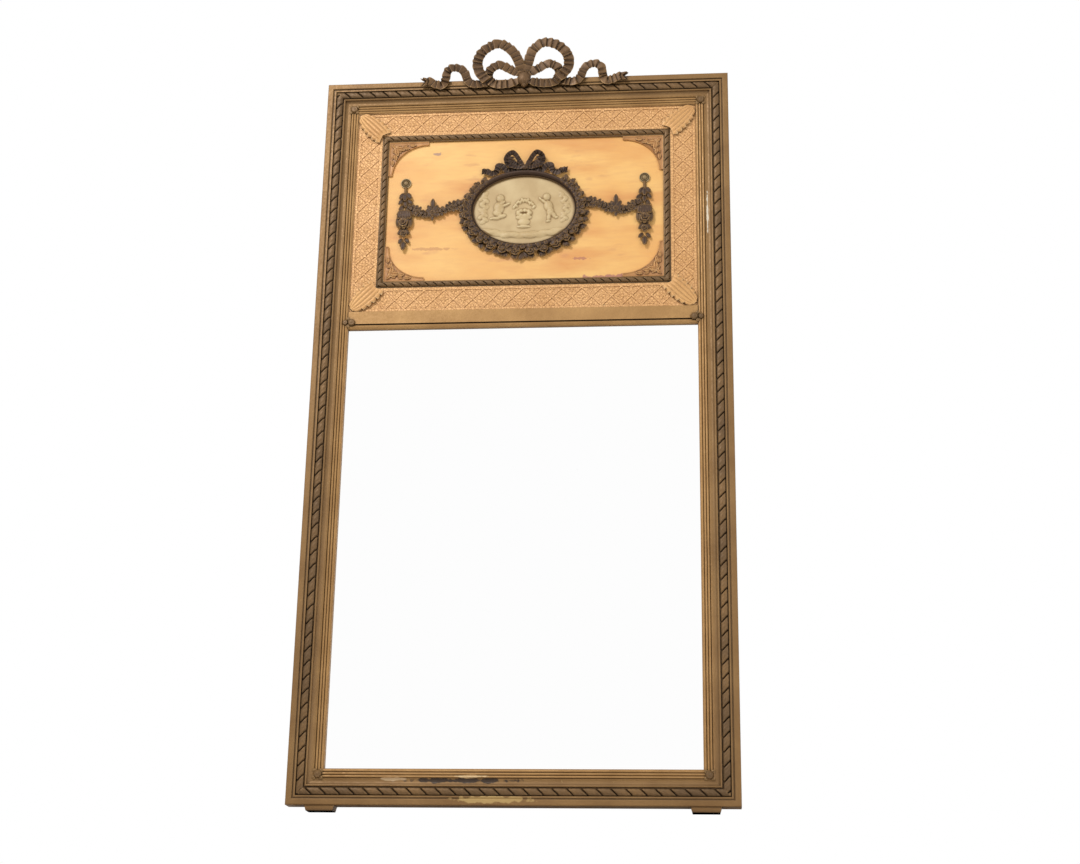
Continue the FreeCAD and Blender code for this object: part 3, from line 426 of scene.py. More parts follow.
def cast_plaster():
    """Cast plaster, painted cream, with painted shade brown in its hollows and creases and a painted
    highlight on its raised parts.
    """
    material, tree, place = blank("cream_plaster")
    hollow = add(tree, "AmbientOcclusion", {"Distance": 6 * MM}, out="AO", samples=8)
    ridges = add(tree, "NewGeometry", out="Pointiness")
    # Painted highlights on the raised parts and painted shade in the creases, read from pointiness;
    # painted shade in the hollows, read from ambient occlusion.
    colour = layered(tree, "bfa272", [
        (mottling(tree, place, 45, 4), 0.35, 0.68, 0, 1, "d3b989"),
        (ridges, 0.505, 0.56, 0, 1, "e6d3a6"), (ridges, 0.45, 0.495, 1, 0, "8d6f45"),
        (hollow, 0.6, 0.98, 1, 0, "8a6b40")])
    return surfaced(material, colour, 0.5, 0.0, mottling(tree, place, 2, 3), 0.15, 0.2)


def silvered_glass():
    """Silvered glass with a little foxing: a mirror bare of marks but for a few grey specks."""
    material, tree, place = blank("silvered_glass")
    foxing = (mottling(tree, place, 26, 2), 0.79, 0.83, 0, 1, "c3c3c1")
    return surfaced(material, layered(tree, "fdfdfd", [foxing]), 0.02, 1.0)


def pine_board():
    """Unfinished pine, sawn and gone brown with age: long grain with darker late wood."""
    material, tree, place = blank("aged_pine")
    grain = mottling(tree, place, 9, 5, (0.04, 1.0, 1.0))
    rings = mottling(tree, place, 45, 3, (0.1, 1.0, 1.0))
    colour = layered(tree, "b58d5b", [(grain, 0.3, 0.75, 0, 1, "8c6337"),
                                      (rings, 0.45, 0.7, 0, 0.6, "7a552f")])
    return surfaced(material, colour, 0.75, 0.0, grain, 0.3, 0.4)


def bare_metal(name, bright, dull, rough):
    """Old bare metal: tarnish in patches about 6 mm across over the worn colour."""
    material, tree, place = blank(name)
    tarnish = mottling(tree, place, 6, 4)
    colour = layered(tree, dull, [(tarnish, 0.35, 0.65, 0, 1, bright)])
    dullness = add(tree, "MapRange", {0: tarnish, 1: 0.3, 2: 0.7, 3: rough + 0.15, 4: rough})
    return surfaced(material, colour, dullness, 1.0)


# In each gilding the third colour goes into the hollows as painted shade and dirt, and into the
# lattice's tendril lines; a fourth colour, where given, is rubbed wear with a painted highlight on
# the ridges.
GILT = bronze_gilding("bronze_gilding", "b98f58", "9b7341", "3c260e", 7, on_frame=True)
CARVED = bronze_gilding("bronzed_carving", "86643a", "5f4628", "1b1007", 7, 0.35, 1.4, "b58e55")
LATTICE = bronze_gilding("peach_gold_lattice", "f0bd80", "dfaa6c", "8c5628", 4, 0.15, 1.6,
                         tracery=True)
PEACH = bronze_gilding("peach_gold_carving", "e0ae6e", "c9955a", "54260e", 9, 0.15, 0.8, "fbd9a3",
                       no_shade_or_dirt_above=1.0)
OCHRE = bronze_gilding("ochre_gold_carving", "dba668", "c28c53", "5c2810", 8, 0.15, 0.8, "f6cd92",
                       no_shade_or_dirt_above=1.0)
DARK = bronze_gilding("dark_bronze_ornament", "503620", "322014", "0d0603", 6, 0.35, 1.0, "a0783f")
OLIVE = bronze_gilding("olive_bronze_button", "a88f63", "846b45", "1c1109", 5, 0.2, 0.6, "c9ae7c")
RIBBON = bronze_gilding("dark_gilt_ribbon", "7d5c36", "553c22", "150b05", 9, 0.35, 1.4, "b58e55")
FIELD = painted_field()
CREAM = cast_plaster()
GLASS = silvered_glass()
PINE = pine_board()
IRON = bare_metal("cut_nail_iron", "5a4f48", "3b2c22", 0.55)
BRASS = bare_metal("worn_brass", "b08d4c", "6f5529", 0.32)
STEEL = bare_metal("screw_steel", "9a9a98", "5e5a55", 0.35)


# ---- rope mouldings ----
def rope_run(name, length, width, height, pitch, skew, strands):
    """A carved rope for a bottom side: along X, its outer edge at z 0, seated at y 0."""
    columns, rows = 16, 12
    count = int(round(length / pitch + 2))
    span = count * pitch

    def rule(u, v):
        step = round(v * rows)
        phase = u * count
        if step in (0, rows):
            across, rise = 0.0, 0.0
        elif step == rows - 1:
            across, rise = 1.0, 0.0
        else:
            angle = pi * (step - 1) / (rows - 3)
            across = 0.5 - 0.5 * cos(angle)
            rise = sin(angle) ** 0.6
        part = phase % 1.0
        near = min(part, 1.0 - part) * pitch
        groove = 1.0 - 0.62 * exp(-(near / (0.055 * pitch)) ** 2)
        swell = 0.86 + 0.14 * sin(pi * part)
        fine = 1.0 - 0.1 * (1.0 - abs(sin(pi * strands * part)) ** 0.6)
        lean = -0.5 * skew * cos(pi * across)
        z = width * (0.5 + (across - 0.5) * (0.94 + 0.06 * sin(pi * part)))
        return Vector((-span / 2 + u * span - lean, -height * rise * groove * swell * fine, z))

    return closed(grid(name, count * columns, rows, rule))


def rope_bed(length, width, high):
    """The flat bed under a small rope, its ends mitred and its arrises eased."""
    bed = primitive("rope_bed", bpy.ops.mesh.primitive_cube_add, size=1,
                    location=(0, -high / 2, width / 2), scale=(length, high, width))
    return modified(mitred(bed, length), "BEVEL", width=0.8 * MM, segments=2)


def rope_frame(stem, pitch, skew, strands, bedded=False):
    """The four ropes of a frame; a bedded one lies on a flat strip that shows on both sides."""
    low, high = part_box(stem + "_bottom")
    width, height = high.z - low.z, high.y - low.y
    lip = bed_high = 0.0
    if bedded:
        lip, bed_high, height = 2.5 * MM, 4 * MM, 5 * MM
    for side, across, place in sides_of(stem, high.y):
        length = across - 2 * lip
        run = mitred(rope_run(stem + "_run_" + side, length, width - 2 * lip, height, pitch, skew,
                              strands), length)
        parts = [run]
        if bedded:
            parts.append(rope_bed(across, width, bed_high))
            run.data.transform(Matrix.Translation((0, -bed_high, lip)))
        run = joined(stem + "_carved_" + side, parts)
        run.data.transform(place)
        dressed(run, CARVED, "bronzed_carving", "%s_%s" % (stem, side), smooth=50)


# ---- pleated ribbons ----
def smooth_line(points, step):
    """Even stations along a smooth line through the points, and the length of the line."""
    ends = [2 * points[0] - points[1]] + points + [2 * points[-1] - points[-2]]
    dense = [0.5 * (2 * b + (c - a) * t + (2 * a - 5 * b + 4 * c - d) * t * t
                    + (3 * b - a - 3 * c + d) * t ** 3)
             for a, b, c, d in zip(ends, ends[1:], ends[2:], ends[3:])
             for t in (k / 20 for k in range(20))]
    dense = np.array(dense + [points[-1]])
    reach = np.append(0.0, np.cumsum(np.linalg.norm(np.diff(dense, axis=0), axis=1)))
    count = max(8, int(round(reach[-1] / step)))
    goals = reach[-1] * np.arange(count + 1) / count
    return [Vector(p) for p in zip(*(np.interp(goals, reach, axis) for axis in dense.T))], reach[-1]


def pleated_ribbon(name, points, width, thick, pleat, seed, twist=None, start=1.0, end=1.0,
                   fork=0.0, depth=2.0 * MM):
    """A carved pleated ribbon along points (x, depth, z); start and end narrow its ends."""
    chance = random.Random(seed)
    stations, reach = smooth_line([Vector((x, -d, z)) for x, d, z in points], 0.9 * MM)
    last = len(stations) - 1
    rows = 16
    folds = int(reach / pleat) + 3
    places = [pleat * (k + chance.uniform(-0.27, 0.27)) for k in range(-1, folds)]
    heights = [chance.uniform(0.75, 1.15) for _ in places]
    leans = [chance.uniform(-0.16, 0.2) for _ in places]

    def rule(u, v):
        index = round(u * last)
        here = stations[index]
        along = (stations[min(index + 1, last)] - stations[max(index - 1, 0)]).normalized()
        side = Vector((-along.z, 0, along.x)).normalized()
        front = side.cross(along).normalized()
        if front.y > 0:
            front = -front
        turn = twist(u) if twist else 0.0
        side, front = (side * cos(turn) + front * sin(turn),
                       front * cos(turn) - side * sin(turn))
        step = round(v * rows) % rows
        rear = step > 10
        across = 1 - 2 * (step - 10) / 6 if rear else -1 + 2 * step / 10
        reach_here = reach * u
        fold = 0
        while (fold < len(places) - 2
               and places[fold + 1] + leans[fold + 1] * pleat * across < reach_here):
            fold += 1
        low = places[fold] + leans[fold] * pleat * across
        high = places[fold + 1] + leans[fold + 1] * pleat * across
        part = min(1.0, max(0.0, (reach_here - low) / (high - low)))
        # A pleat rises slowly and falls back steeply under the next one.
        ridge = min(part / 0.74, (1 - part) / 0.26) ** 0.8 * heights[fold]
        full = min(1.0, start + 6 * u, end + 6 * (1 - u))
        half = 0.5 * width * full * min(1.0, 0.91 + 0.09 * ridge)
        edge = 1.0 - 0.3 * abs(across) ** 3
        ridge *= 1.0 - 0.25 * (1.0 - abs(across)) * (fold % 3 == 0)
        if rear:
            rise = -0.5 * thick * edge
        else:
            rise = 0.5 * thick * edge + depth * ridge * (0.55 + 0.45 * full) - 0.5 * depth
        point = here + side * across * half + front * rise
        if fork:
            point -= along * fork * (1 - abs(across)) * max(0.0, 1 - (1 - u) * reach / (2 * fork))
        return point

    return closed(grid(name, last, rows, rule))


def crest_points(pairs, depths):
    return [(CREST.x + x * MM, d * MM - BACK_Y, CREST.z + z * MM)
            for (x, z), d in zip(pairs, depths)]


def mirrored_points(points):
    return [(2 * CREST.x - x, d, z) for x, d, z in points]


BIG_LOOP = {"left": ((-3, 5), (-11, 35), (-26, 62), (-54, 80), (-84, 67), (-98, 42), (-94, 14),
                     (-78, -8)),
            "right": ((3, 5), (9, 34), (18, 62), (41, 80), (70, 73), (90, 52), (94, 24), (84, 4),
                      (68, -9))}
BIG_DEPTH = (42, 43, 43, 43, 42, 42, 44, 46, 46)
SMALL_LOOP = ((-7, 5), (-30, 19), (-52, 30), (-70, 21), (-75, 2), (-62, -13), (-36, -15), (-8, -8))
SMALL_DEPTH = (42, 42, 41.5, 40.5, 40.5, 41, 41.5, 42)
TAIL = ((-78, -10), (-104, -13), (-118, -4), (-125, 14), (-135, 24), (-150, 26), (-162, 18),
        (-165, 1), (-172, -13), (-186, -11), (-201, -4), (-219, -5))
TAIL_DEPTH = (41, 41, 41, 41.5, 42, 43, 42, 41, 41, 42, 42, 41)


def ribbed_ball(name, columns, rows, centre, size, ribs, swell, taper):
    """A ball of folds in the crest, in mm, with its poles to the front and the back."""
    def rule(u, v):
        around, lean = TAU * u, pi * v
        fold = 1 + swell * abs(sin(ribs * around)) * sin(lean) ** taper
        radius = size[0] * sin(lean) * fold
        return CREST + MM * Vector((centre[0] + radius * cos(around),
                                    centre[1] + size[1] * cos(lean),
                                    centre[2] + size[2] * radius * sin(around)))

    return closed(grid(name, columns, rows, rule))


def make_crest():
    for side, seed, flip in (("left", 3, list), ("right", 8, mirrored_points)):
        line = BIG_LOOP[side]
        big = pleated_ribbon("big_loop", crest_points(line, BIG_DEPTH[:len(line)]), 22.5 * MM,
                             4.6 * MM, 12 * MM, seed, start=0.5, depth=4.4 * MM)
        small = pleated_ribbon("small_loop", flip(crest_points(SMALL_LOOP, SMALL_DEPTH)), 20.5 * MM,
                               4.4 * MM, 11 * MM, seed + 1, start=0.5, end=0.5, depth=4.2 * MM)
        tail = pleated_ribbon("tail", flip(crest_points(TAIL, TAIL_DEPTH)), 19 * MM,
                              4.2 * MM, 11 * MM, seed + 2, end=0.95, fork=11 * MM, depth=4.2 * MM)
        bow = joined("crest_bow_carved_" + side, [big, small])
        dressed(bow, RIBBON, "bronzed_carving", "crest_bow_" + side, smooth=60)
        dressed(tail, RIBBON, "bronzed_carving", "crest_tail_" + side, smooth=60)
        tail.name = "crest_tail_carved_" + side

    knot = ribbed_ball("crest_knot_folds", 54, 14, (0, -3.5, -2), (13.5, 10.5, 1.15), 4.5, 0.13, 1)
    knob = ribbed_ball("crest_knob", 24, 10, (0, -3, -15.5), (6.3, 6, 1), 3, 0.1, 0)
    dressed(joined("crest_knot_carved", [knot, knob]), RIBBON, "bronzed_carving", "crest_knot",
            smooth=60)


# ---- leaves and flowers ----
def leaf(name, length, width, lobes, cup, notch=0.0, thick=1.2 * MM, columns=14, rows=8,
         blunt=0.75, rim=0.0):
    """A carved leaf along +X, its root at the origin and its face towards -Y."""
    def rule(u, v):
        across = 2 * v - 1
        swell = sin(pi * u ** blunt) ** 0.75 if 0 < u < 1 else 0.0
        saw = 1.0
        if lobes:
            saw = 1 - notch * (1 - abs(sin(pi * lobes * u)) ** 0.6) * across ** 2
        half = 0.5 * width * max(0.1, swell) * saw
        height = cup * (1 - across * across) * (0.4 + 0.6 * swell)
        height -= 0.4 * cup * exp(-(across / 0.16) ** 2)
        height += rim * exp(-((abs(across) - 0.85) / 0.2) ** 2)
        if lobes:
            height += 0.22 * cup * cos(TAU * lobes * u) * abs(across)
        return Vector((length * u, -height, across * half))

    blade = grid(name, columns, rows, rule)
    return modified(blade, "SOLIDIFY", thickness=thick, offset=1.0)


def ball(name, radius, flat=1.0, rings=8, segments=12):
    piece = primitive(name, bpy.ops.mesh.primitive_uv_sphere_add, segments=segments,
                      ring_count=rings, radius=radius, rotation=(pi / 2, 0, 0))
    piece.data.transform(Matrix.Diagonal((1, flat, 1, 1)))
    return piece


def flower(name, radius, petals, height, heart=0.3, rows=1):
    """An open flower facing -Y: cupped petals round a heart, on its seat at y 0."""
    petal = leaf("petal", radius, 2.0 * radius * sin(pi / petals), 0, 0.22 * radius,
                 columns=6, rows=4, blunt=1.35, thick=0.12 * radius, rim=0.08 * radius)
    parts = []
    for row in range(rows):
        for index in range(petals):
            parts.append(laid(petal, 0, 0, -(0.3 + 0.3 * row) * height,
                              TAU * (index + 0.5 * row) / petals, 1.0 - 0.38 * row,
                              0.2 + 0.35 * row))
    core = ball("heart", heart * radius, 0.8, 6, 9)
    core.data.transform(Matrix.Translation((0, -0.75 * height, 0)))
    discard(petal)
    return joined(name, parts + [core])


def berry(name, radius):
    """A berry with a dimple: a ball whose front is pushed in."""
    piece = ball(name, radius, 0.9, 6, 9)
    for point in piece.data.vertices:
        if point.co.y < -0.7 * radius:
            point.co.y += 0.35 * radius
    return piece


LEAF_SMALL = leaf("leaf_small", 16 * MM, 9.5 * MM, 3, 2.2 * MM, 0.22, columns=9, rows=6,
                  rim=0.5 * MM)
LEAF_ROUND = leaf("leaf_round", 14 * MM, 10 * MM, 0, 2.2 * MM, columns=8, rows=6, blunt=1.3,
                  rim=1.1 * MM)
LEAF_LONG = leaf("leaf_long", 34 * MM, 10.5 * MM, 0, 2.6 * MM, columns=12, rows=6, blunt=1.5,
                 rim=1.1 * MM)
FLOWER = flower("flower", 9 * MM, 5, 6 * MM, 0.22, rows=2)
BERRY = berry("berry", 3.4 * MM)


def spray(name, spots):
    """Copies of leaves, flowers and berries: kind, x, z, depth, turn, size and lift. The places
    are in mm from the middle of the plaque, and from the field outwards."""
    return joined(name, [laid(kind, PLAQUE.x + x * MM, PLAQUE.z + z * MM, FIELD_Y - depth * MM,
                              turn, size, lift)
                         for kind, x, z, depth, turn, size, lift in spots])


# ---- panel ----
def make_acanthus():
    """A fluted leaf over each mitre, its root astride the corner of the small rope."""
    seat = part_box("leaf_top_right")[1].y
    length = 66 * MM
    places = (0.0, 0.15, 0.4, 0.65, 0.84, 0.95, 1.0)
    halves = (18.0, 20.5, 21.5, 20.0, 15.5, 10.0, 3.0)
    lobes = 6

    def rule(u, v):
        across = 2 * v - 1
        part = (u * lobes + 0.35 * abs(across)) % 1.0
        saw = 1 - 0.3 * (1 - part) ** 1.5 * across ** 4
        lift = 0.12 * length * across ** 2 * (u - 0.15)
        x = -7 * MM * abs(across) * (1 - u) + length * u - max(0.0, lift) * (1 - u)
        flute = abs(sin(pi * (2.5 * across + 0.5))) ** 0.6
        height = 2.4 + 0.9 * (1 - across * across) + 0.6 * (part - 0.5) * across ** 2 - 0.5 * u
        height += 2.0 * flute * min(1.0, 6 * u, 5 * (1 - u) + 0.3)
        return Vector((x, -height * MM, across * np.interp(u, places, halves) * saw * MM))

    pattern = modified(grid("acanthus", 96, 44, rule), "SOLIDIFY", thickness=2.0 * MM, offset=1.0)
    corner = {"left": -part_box("panel_rope_right")[1].x, "right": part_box("panel_rope_right")[1].x,
              "bottom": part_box("panel_rope_bottom")[0].z, "top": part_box("panel_rope_top")[1].z}
    for level, side, turn in (("top", "right", 45), ("top", "left", 135),
                              ("bottom", "left", 225), ("bottom", "right", 315)):
        name = "leaf_%s_%s" % (level, side)
        piece = laid(pattern, corner[side], corner[level], seat, radians(turn))
        piece.name = name + "_carved"
        dressed(piece, PEACH, "gold_lattice", name, smooth=60)
    discard(pattern)


SPANDREL_SPRAY = ((16, 16, 45, 0.75), (15, 15, 8, 1.1), (15, 15, 82, 1.1), (15, 15, -42, 0.7),
                  (15, 15, 132, 0.7), (14, 14, 225, 0.75), (29, 12, 14, 0.85), (12, 29, 76, 0.85),
                  (30, 9, -16, 0.6), (9, 30, 106, 0.6), (43, 7.5, 0, 0.8), (7.5, 42, 90, 0.75))


def make_spandrel(node, way, up):
    """A corner plate with a hollow arc, its ground sunk inside a rim, under a spray of leaves."""
    low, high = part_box(node)
    x0 = low.x if way > 0 else high.x
    z0 = low.z if up > 0 else high.z
    reach, drop = high.x - low.x, high.z - low.z
    step = 8 * MM
    corners = [(0, 0), (reach, 0)]
    for index in range(25):
        turn = 0.5 * pi * index / 24
        corners.append((reach - (reach - step) * sin(turn), drop - (drop - step) * cos(turn)))
    corners.append((0, drop))
    plate = primitive("spandrel_plate", bpy.ops.mesh.primitive_circle_add,
                      vertices=len(corners), fill_type="NGON")
    for point, (a, b) in zip(plate.data.vertices, corners):
        point.co = (x0 + way * a, high.y, z0 + up * b)
    rise, rim, sunk = 4.2 * MM, 2.6 * MM, 2.2 * MM
    editing(plate)
    bpy.ops.mesh.extrude_region_move(TRANSFORM_OT_translate={"value": (0, -rise, 0)})
    bpy.ops.mesh.inset(thickness=rim, depth=0)
    bpy.ops.transform.translate(value=(0, sunk, 0))
    bpy.ops.mesh.select_all(action="SELECT")
    bpy.ops.mesh.normals_make_consistent(inside=False)
    alone()
    parts = [modified(plate, "BEVEL", width=0.5 * MM, segments=2)]
    face = high.y - 1.9 * MM
    for a, b, turn, size in SPANDREL_SPRAY:
        turn = radians(turn)
        parts.append(laid(LEAF_SMALL, x0 + way * a * MM, z0 + up * b * MM, face,
                          atan2(up * sin(turn), way * cos(turn)), size, deep=1.7))
    parts.append(laid(FLOWER, x0 + way * 15 * MM, z0 + up * 15 * MM, face, 0.3, 0.62))
    dressed(joined(node + "_carved", parts), OCHRE, "gold_lattice", node)


def flat_petals(name, turns):
    """Flat petals round a point: the turn in degrees and the size of each."""
    petal = leaf("long_petal", 10 * MM, 4.6 * MM, 0, 0.8 * MM, columns=5, rows=4, blunt=1.2,
                 thick=0.4 * MM)
    parts = [laid(petal, 0, 0, 0, radians(turn), size, deep=1 / size) for turn, size in turns]
    discard(petal)
    return joined(name, parts)


def make_lattice_flowers():
    """A flat flower in every diamond of the lattice border, and a sprig in every half diamond."""
    whole = flat_petals("lattice_flower", [(90 * k, 1.0) for k in range(4)]
                        + [(90 * k + 45, 0.62) for k in range(4)])
    part = flat_petals("lattice_sprig", [(90, 1.0), (35, 0.7), (145, 0.7)])
    pitch, width, margin = 40 * MM, 52 * MM, 14 * MM
    for side, length, place in sides_of("lattice", FIELD_Y):
        parts = []
        count = int(length / 2 / pitch) + 1
        for index in range(-2 * count, 2 * count + 1):
            move = index * pitch / 2
            spots = ((0.0, 0.0, whole),)
            if index % 2:
                spots = ((-20 * MM, 0.0, part), (20 * MM, pi, part))
            for shift, turn, kind in spots:
                if abs(move) < length / 2 - (width / 2 - shift) - margin:
                    parts.append(laid(kind, move, width / 2 + shift, -3.0 * MM, turn))
        piece = joined("lattice_flowers_" + side, parts)
        piece.data.transform(place)
        dressed(piece, LATTICE, "gold_lattice")
    discard(whole, part)


# ---- medallion ----
def on_oval(grow, angle):
    """A place on an oval grown from the plaque, in mm from its middle."""
    return (PLAQUE_A / MM + grow) * cos(angle), (PLAQUE_B / MM + grow) * sin(angle)


def oval_moulding(name, section):
    """A moulding round the plaque through pairs of growth and depth, in mm."""
    rows = len(section)

    def rule(u, v):
        grow, depth = section[round(v * rows) % rows]
        x, z = on_oval(grow, TAU * u)
        return Vector((PLAQUE.x + x * MM, FIELD_Y - depth * MM, PLAQUE.z + z * MM))

    return closed(grid(name, 144, rows, rule))


def rounded(points, parts):
    """Points of a closed outline with its corners drawn round."""
    result = []
    count = len(points)
    for index in range(count):
        a, b, c = points[index - 1], points[index], points[(index + 1) % count]
        for k in range(parts):
            t = (k + 0.5) / parts
            result.append([(1 - t) ** 2 * (a[i] + b[i]) / 2 + 2 * t * (1 - t) * b[i]
                           + t * t * (b[i] + c[i]) / 2 for i in (0, 1)])
    return result


def relief(bumps, x, z):
    """Height of the low relief at a point: rounded bumps that melt into each other."""
    total = np.zeros_like(x)
    for cx, cz, rx, rz, turn, high in bumps:
        c, s = cos(radians(turn)), sin(radians(turn))
        a = ((x - cx) * c + (z - cz) * s) / rx
        b = (-(x - cx) * s + (z - cz) * c) / rz
        dome = high * np.sqrt(np.clip(1 - a * a - b * b, 0, 1))
        total = np.maximum(total, dome) + 0.18 * np.minimum(total, dome)
    return total


def infant(x, z, size, way, pose):
    """A small plump child seen from the side, in rounded bumps: a common garden putto."""
    limbs = {
        "kneel": [(0, 0, 8, 10, 10, 5.2), (2, 15.5, 6.2, 6.8, 0, 5.4), (4, 7, 3.4, 7.5, -50, 4.2),
                  (9, 4, 6.5, 2.6, 20, 4.0), (14, 6.5, 3.6, 2.1, 25, 3.4),
                  (-2, -9, 7.5, 5.4, -25, 5.0), (5, -14, 7, 3.6, 15, 4.4),
                  (-4, -17, 7.2, 2.9, 0, 3.6), (-11, -17.5, 3, 2, 10, 3.0)],
        "reach": [(0, 0, 7, 10, -18, 5.2), (3, 15.5, 6.0, 6.6, 0, 5.4), (7, 8, 7.5, 2.7, 38, 4.0),
                  (13, 13, 3.4, 2.2, 50, 3.4), (-3, -10, 5.8, 7.6, 12, 5.0),
                  (-1, -19, 3.5, 7, 8, 4.0), (0, -26, 4, 2.2, -10, 3.2),
                  (-8, -15, 3.6, 7.2, -35, 3.8), (-13, -20, 3.2, 2.1, -30, 3.0)],
    }[pose]
    return [(x + way * a * size, z + b * size, rx * size, rz * size, way * turn, high)
            for a, b, rx, rz, turn, high in limbs]


def make_plaque():
    """A cast plaque with a low relief: two garden putti on either side of an urn of flowers."""
    bumps = infant(-52, 6, 1.35, 1, "kneel") + infant(50, 8, 1.3, -1, "reach")
    bumps += [(0, -16, 17, 7.0, 0, 5.0), (0, -27, 13, 9, 0, 4.8), (0, -37, 15, 3.5, 0, 4.0)]
    for k in range(9):
        angle = TAU * k / 9
        bumps.append((12 * cos(angle), -7 + 5.5 * sin(angle), 5.2, 5, 0, 5.4))
    for k in range(13):
        share = (k - 6) / 6
        bumps.append((20 * share, 8 + 14 * (1 - share * share) + 1.5 * sin(4.1 * k), 5.5, 3.2,
                      50 * (-1) ** k, 3.4))
    for k in range(15):
        share = (k - 7) / 7
        bumps.append((78 * share, -46 - 10 * (1 - share * share) + 3 * sin(3.1 * k), 17,
                      6.5, 8 * sin(2.0 * k), 2.6 + 0.9 * sin(1.7 * k)))
    for k in range(14):
        bumps.append((-84 + 5 * sin(2.3 * k), -24 + 5.2 * k, 8, 5, 35 * (-1) ** k,
                      2.2 + 0.8 * sin(k)))
        bumps.append((88 - 1.3 * abs(k - 6) + 4 * sin(1.9 * k), -24 + 4.6 * k, 6.5, 4.2,
                      35 * (-1) ** k, 1.8 + 0.6 * sin(1.4 * k)))
    high_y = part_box("plaque")[1].y
    a, b = PLAQUE_A + 1.2 * MM, PLAQUE_B + 1.2 * MM

    def rule(u, v):
        s, t = 2 * u - 1, 2 * v - 1
        return Vector((a * s * sqrt(1 - t * t / 2), 0, b * t * sqrt(1 - s * s / 2)))

    plaque = grid("plaque_relief", 210, 154, rule)
    spots = np.array([tuple(p.co) for p in plaque.data.vertices])
    out = (spots[:, 0] / a) ** 2 + (spots[:, 2] / b) ** 2
    carved = relief(bumps, spots[:, 0] / MM, spots[:, 2] / MM) * MM
    fade = np.clip((1 - out) / 0.10, 0, 1)
    base = 3.0 * MM
    for point, height, keep in zip(plaque.data.vertices, carved, fade):
        point.co = (PLAQUE.x + point.co.x, high_y - base - 0.85 * height * keep,
                    PLAQUE.z + point.co.z)
    editing(plaque)
    bpy.ops.mesh.vertices_smooth(factor=0.5, repeat=1)
    alone()
    modified(plaque, "SOLIDIFY", thickness=2.8 * MM, offset=-1.0)
    closed(plaque)
    dressed(plaque, CREAM, "cream_plaque", "plaque", smooth=70)


def make_moulding():
    section = rounded([(13, 0), (13, 8), (10.5, 12.8), (6.5, 12.8), (3.2, 9.5), (2.2, 6.0),
                       (1.6, 3.5), (1.5, 0)], 3)
    ring = oval_moulding("medallion_oval", section)
    turns = [TAU * k / 8 for k in range(8)]
    bead = oval_moulding("medallion_bead", [(1.2 + 1.2 * cos(a), 6 + 1.2 * sin(a)) for a in turns])
    dressed(joined("medallion_oval", [ring, bead]), DARK, "dark_bronze_ornament",
            "medallion_moulding")


def make_wreath():
    """Three rows of leaves with flowers between them, thickest at the foot."""
    chance = random.Random(11)
    for side, way in (("right", 1), ("left", -1)):
        spots = []
        count = 32
        for index in range(count):
            share = index / (count - 1)
            degrees = -89 + 133 * share
            low = 0.5 + 0.5 * cos(radians(133 * share))
            for row, (grow, depth, size, lift) in enumerate((
                    (14.5 + 4.5 * low, 2.2, 0.95 + 0.3 * low, 0.15),
                    (10.5, 7.5, 0.9 + 0.12 * low, 0.35), (5.5, 11.0, 0.62 + 0.12 * low, 0.1))):
                x, z = on_oval(grow, radians(degrees + (row % 2) * 1.4 + chance.uniform(-0.8, 0.8)))
                out = atan2(z * PLAQUE_A ** 2, x * PLAQUE_B ** 2)
                lean = (0.75 if (index + row) % 2 else -0.55) + chance.uniform(-0.3, 0.3)
                spots.append((LEAF_ROUND if (index + row) % 3 else LEAF_SMALL, x, z, depth,
                              out + lean, size * chance.uniform(0.85, 1.05), lift))
            if index % 3 == 1:
                spots.append((FLOWER, *on_oval(14 + 5 * low, radians(degrees + 2)), 6.0,
                              chance.uniform(0, 3), 0.72 + 0.3 * low, 0.0))
            elif index % 3 == 2:
                spots.append((BERRY, *on_oval(12, radians(degrees)), 10.0, 0,
                              chance.uniform(0.8, 1.1), 0.0))
        piece = spray("wreath_leaves_" + side, spots)
        if way < 0:
            mirror_mesh(piece)
        dressed(piece, DARK, "dark_bronze_ornament", "wreath_" + side, smooth=60)


def mirror_mesh(piece):
    piece.data.transform(Matrix.Diagonal((-1, 1, 1, 1)))
    piece.data.flip_normals()


def make_medallion_bow():
    base = PLAQUE_B + RING_W
    parts = []
    for way in (-1, 1):
        def spot(x, z, d):
            return (way * x * MM, (d + 20) * MM - BACK_Y, PLAQUE.z + base + z * MM)
        # The loop folds back over its dark inner side; the tail rolls once and frays in a fork.
        back = [spot(4, 8, 4), spot(20, 14, 4), spot(33, 24, 4.5), spot(30, 34, 5)]
        parts.append(pleated_ribbon("bow_inside", back, 17 * MM, 2.4 * MM, 6 * MM, 41 + way,
                                    start=0.4, depth=2.2 * MM))
        loop = [spot(2, 9, 8), spot(10, 20, 8.5), spot(17, 33, 9), spot(25, 41, 8.5),
                spot(35, 36, 8), spot(40, 24, 8), spot(34, 12, 8), spot(18, 7, 8), spot(4, 6, 8)]
        parts.append(pleated_ribbon("bow_loop", loop, 10.5 * MM, 2.6 * MM, 7 * MM, 21 + way,
                                    twist=lambda u: way * 0.6 * sin(pi * u),
                                    start=0.5, end=0.5, depth=2.4 * MM))
        tail = [spot(4, 5, 5), spot(22, 2, 5), spot(36, 0, 6), spot(45, 8, 9), spot(54, 10, 9),
                spot(58, -1, 6), spot(68, -5, 5), spot(78, -1, 6), spot(90, 0, 5.5)]
        parts.append(pleated_ribbon("bow_tail", tail, 13.5 * MM, 2.8 * MM, 6.5 * MM, 31 + way,
                                    start=0.5, end=1.0, fork=6 * MM, depth=2.6 * MM))
    knot = ball("bow_knot", 7 * MM, 0.7)
    knot.data.transform(Matrix.Translation((0, FIELD_Y - 6 * MM, PLAQUE.z + base + 7 * MM)))
    parts.append(knot)
    dressed(joined("medallion_bow_carved", parts), DARK, "dark_bronze_ornament", "medallion_bow",
            smooth=60)


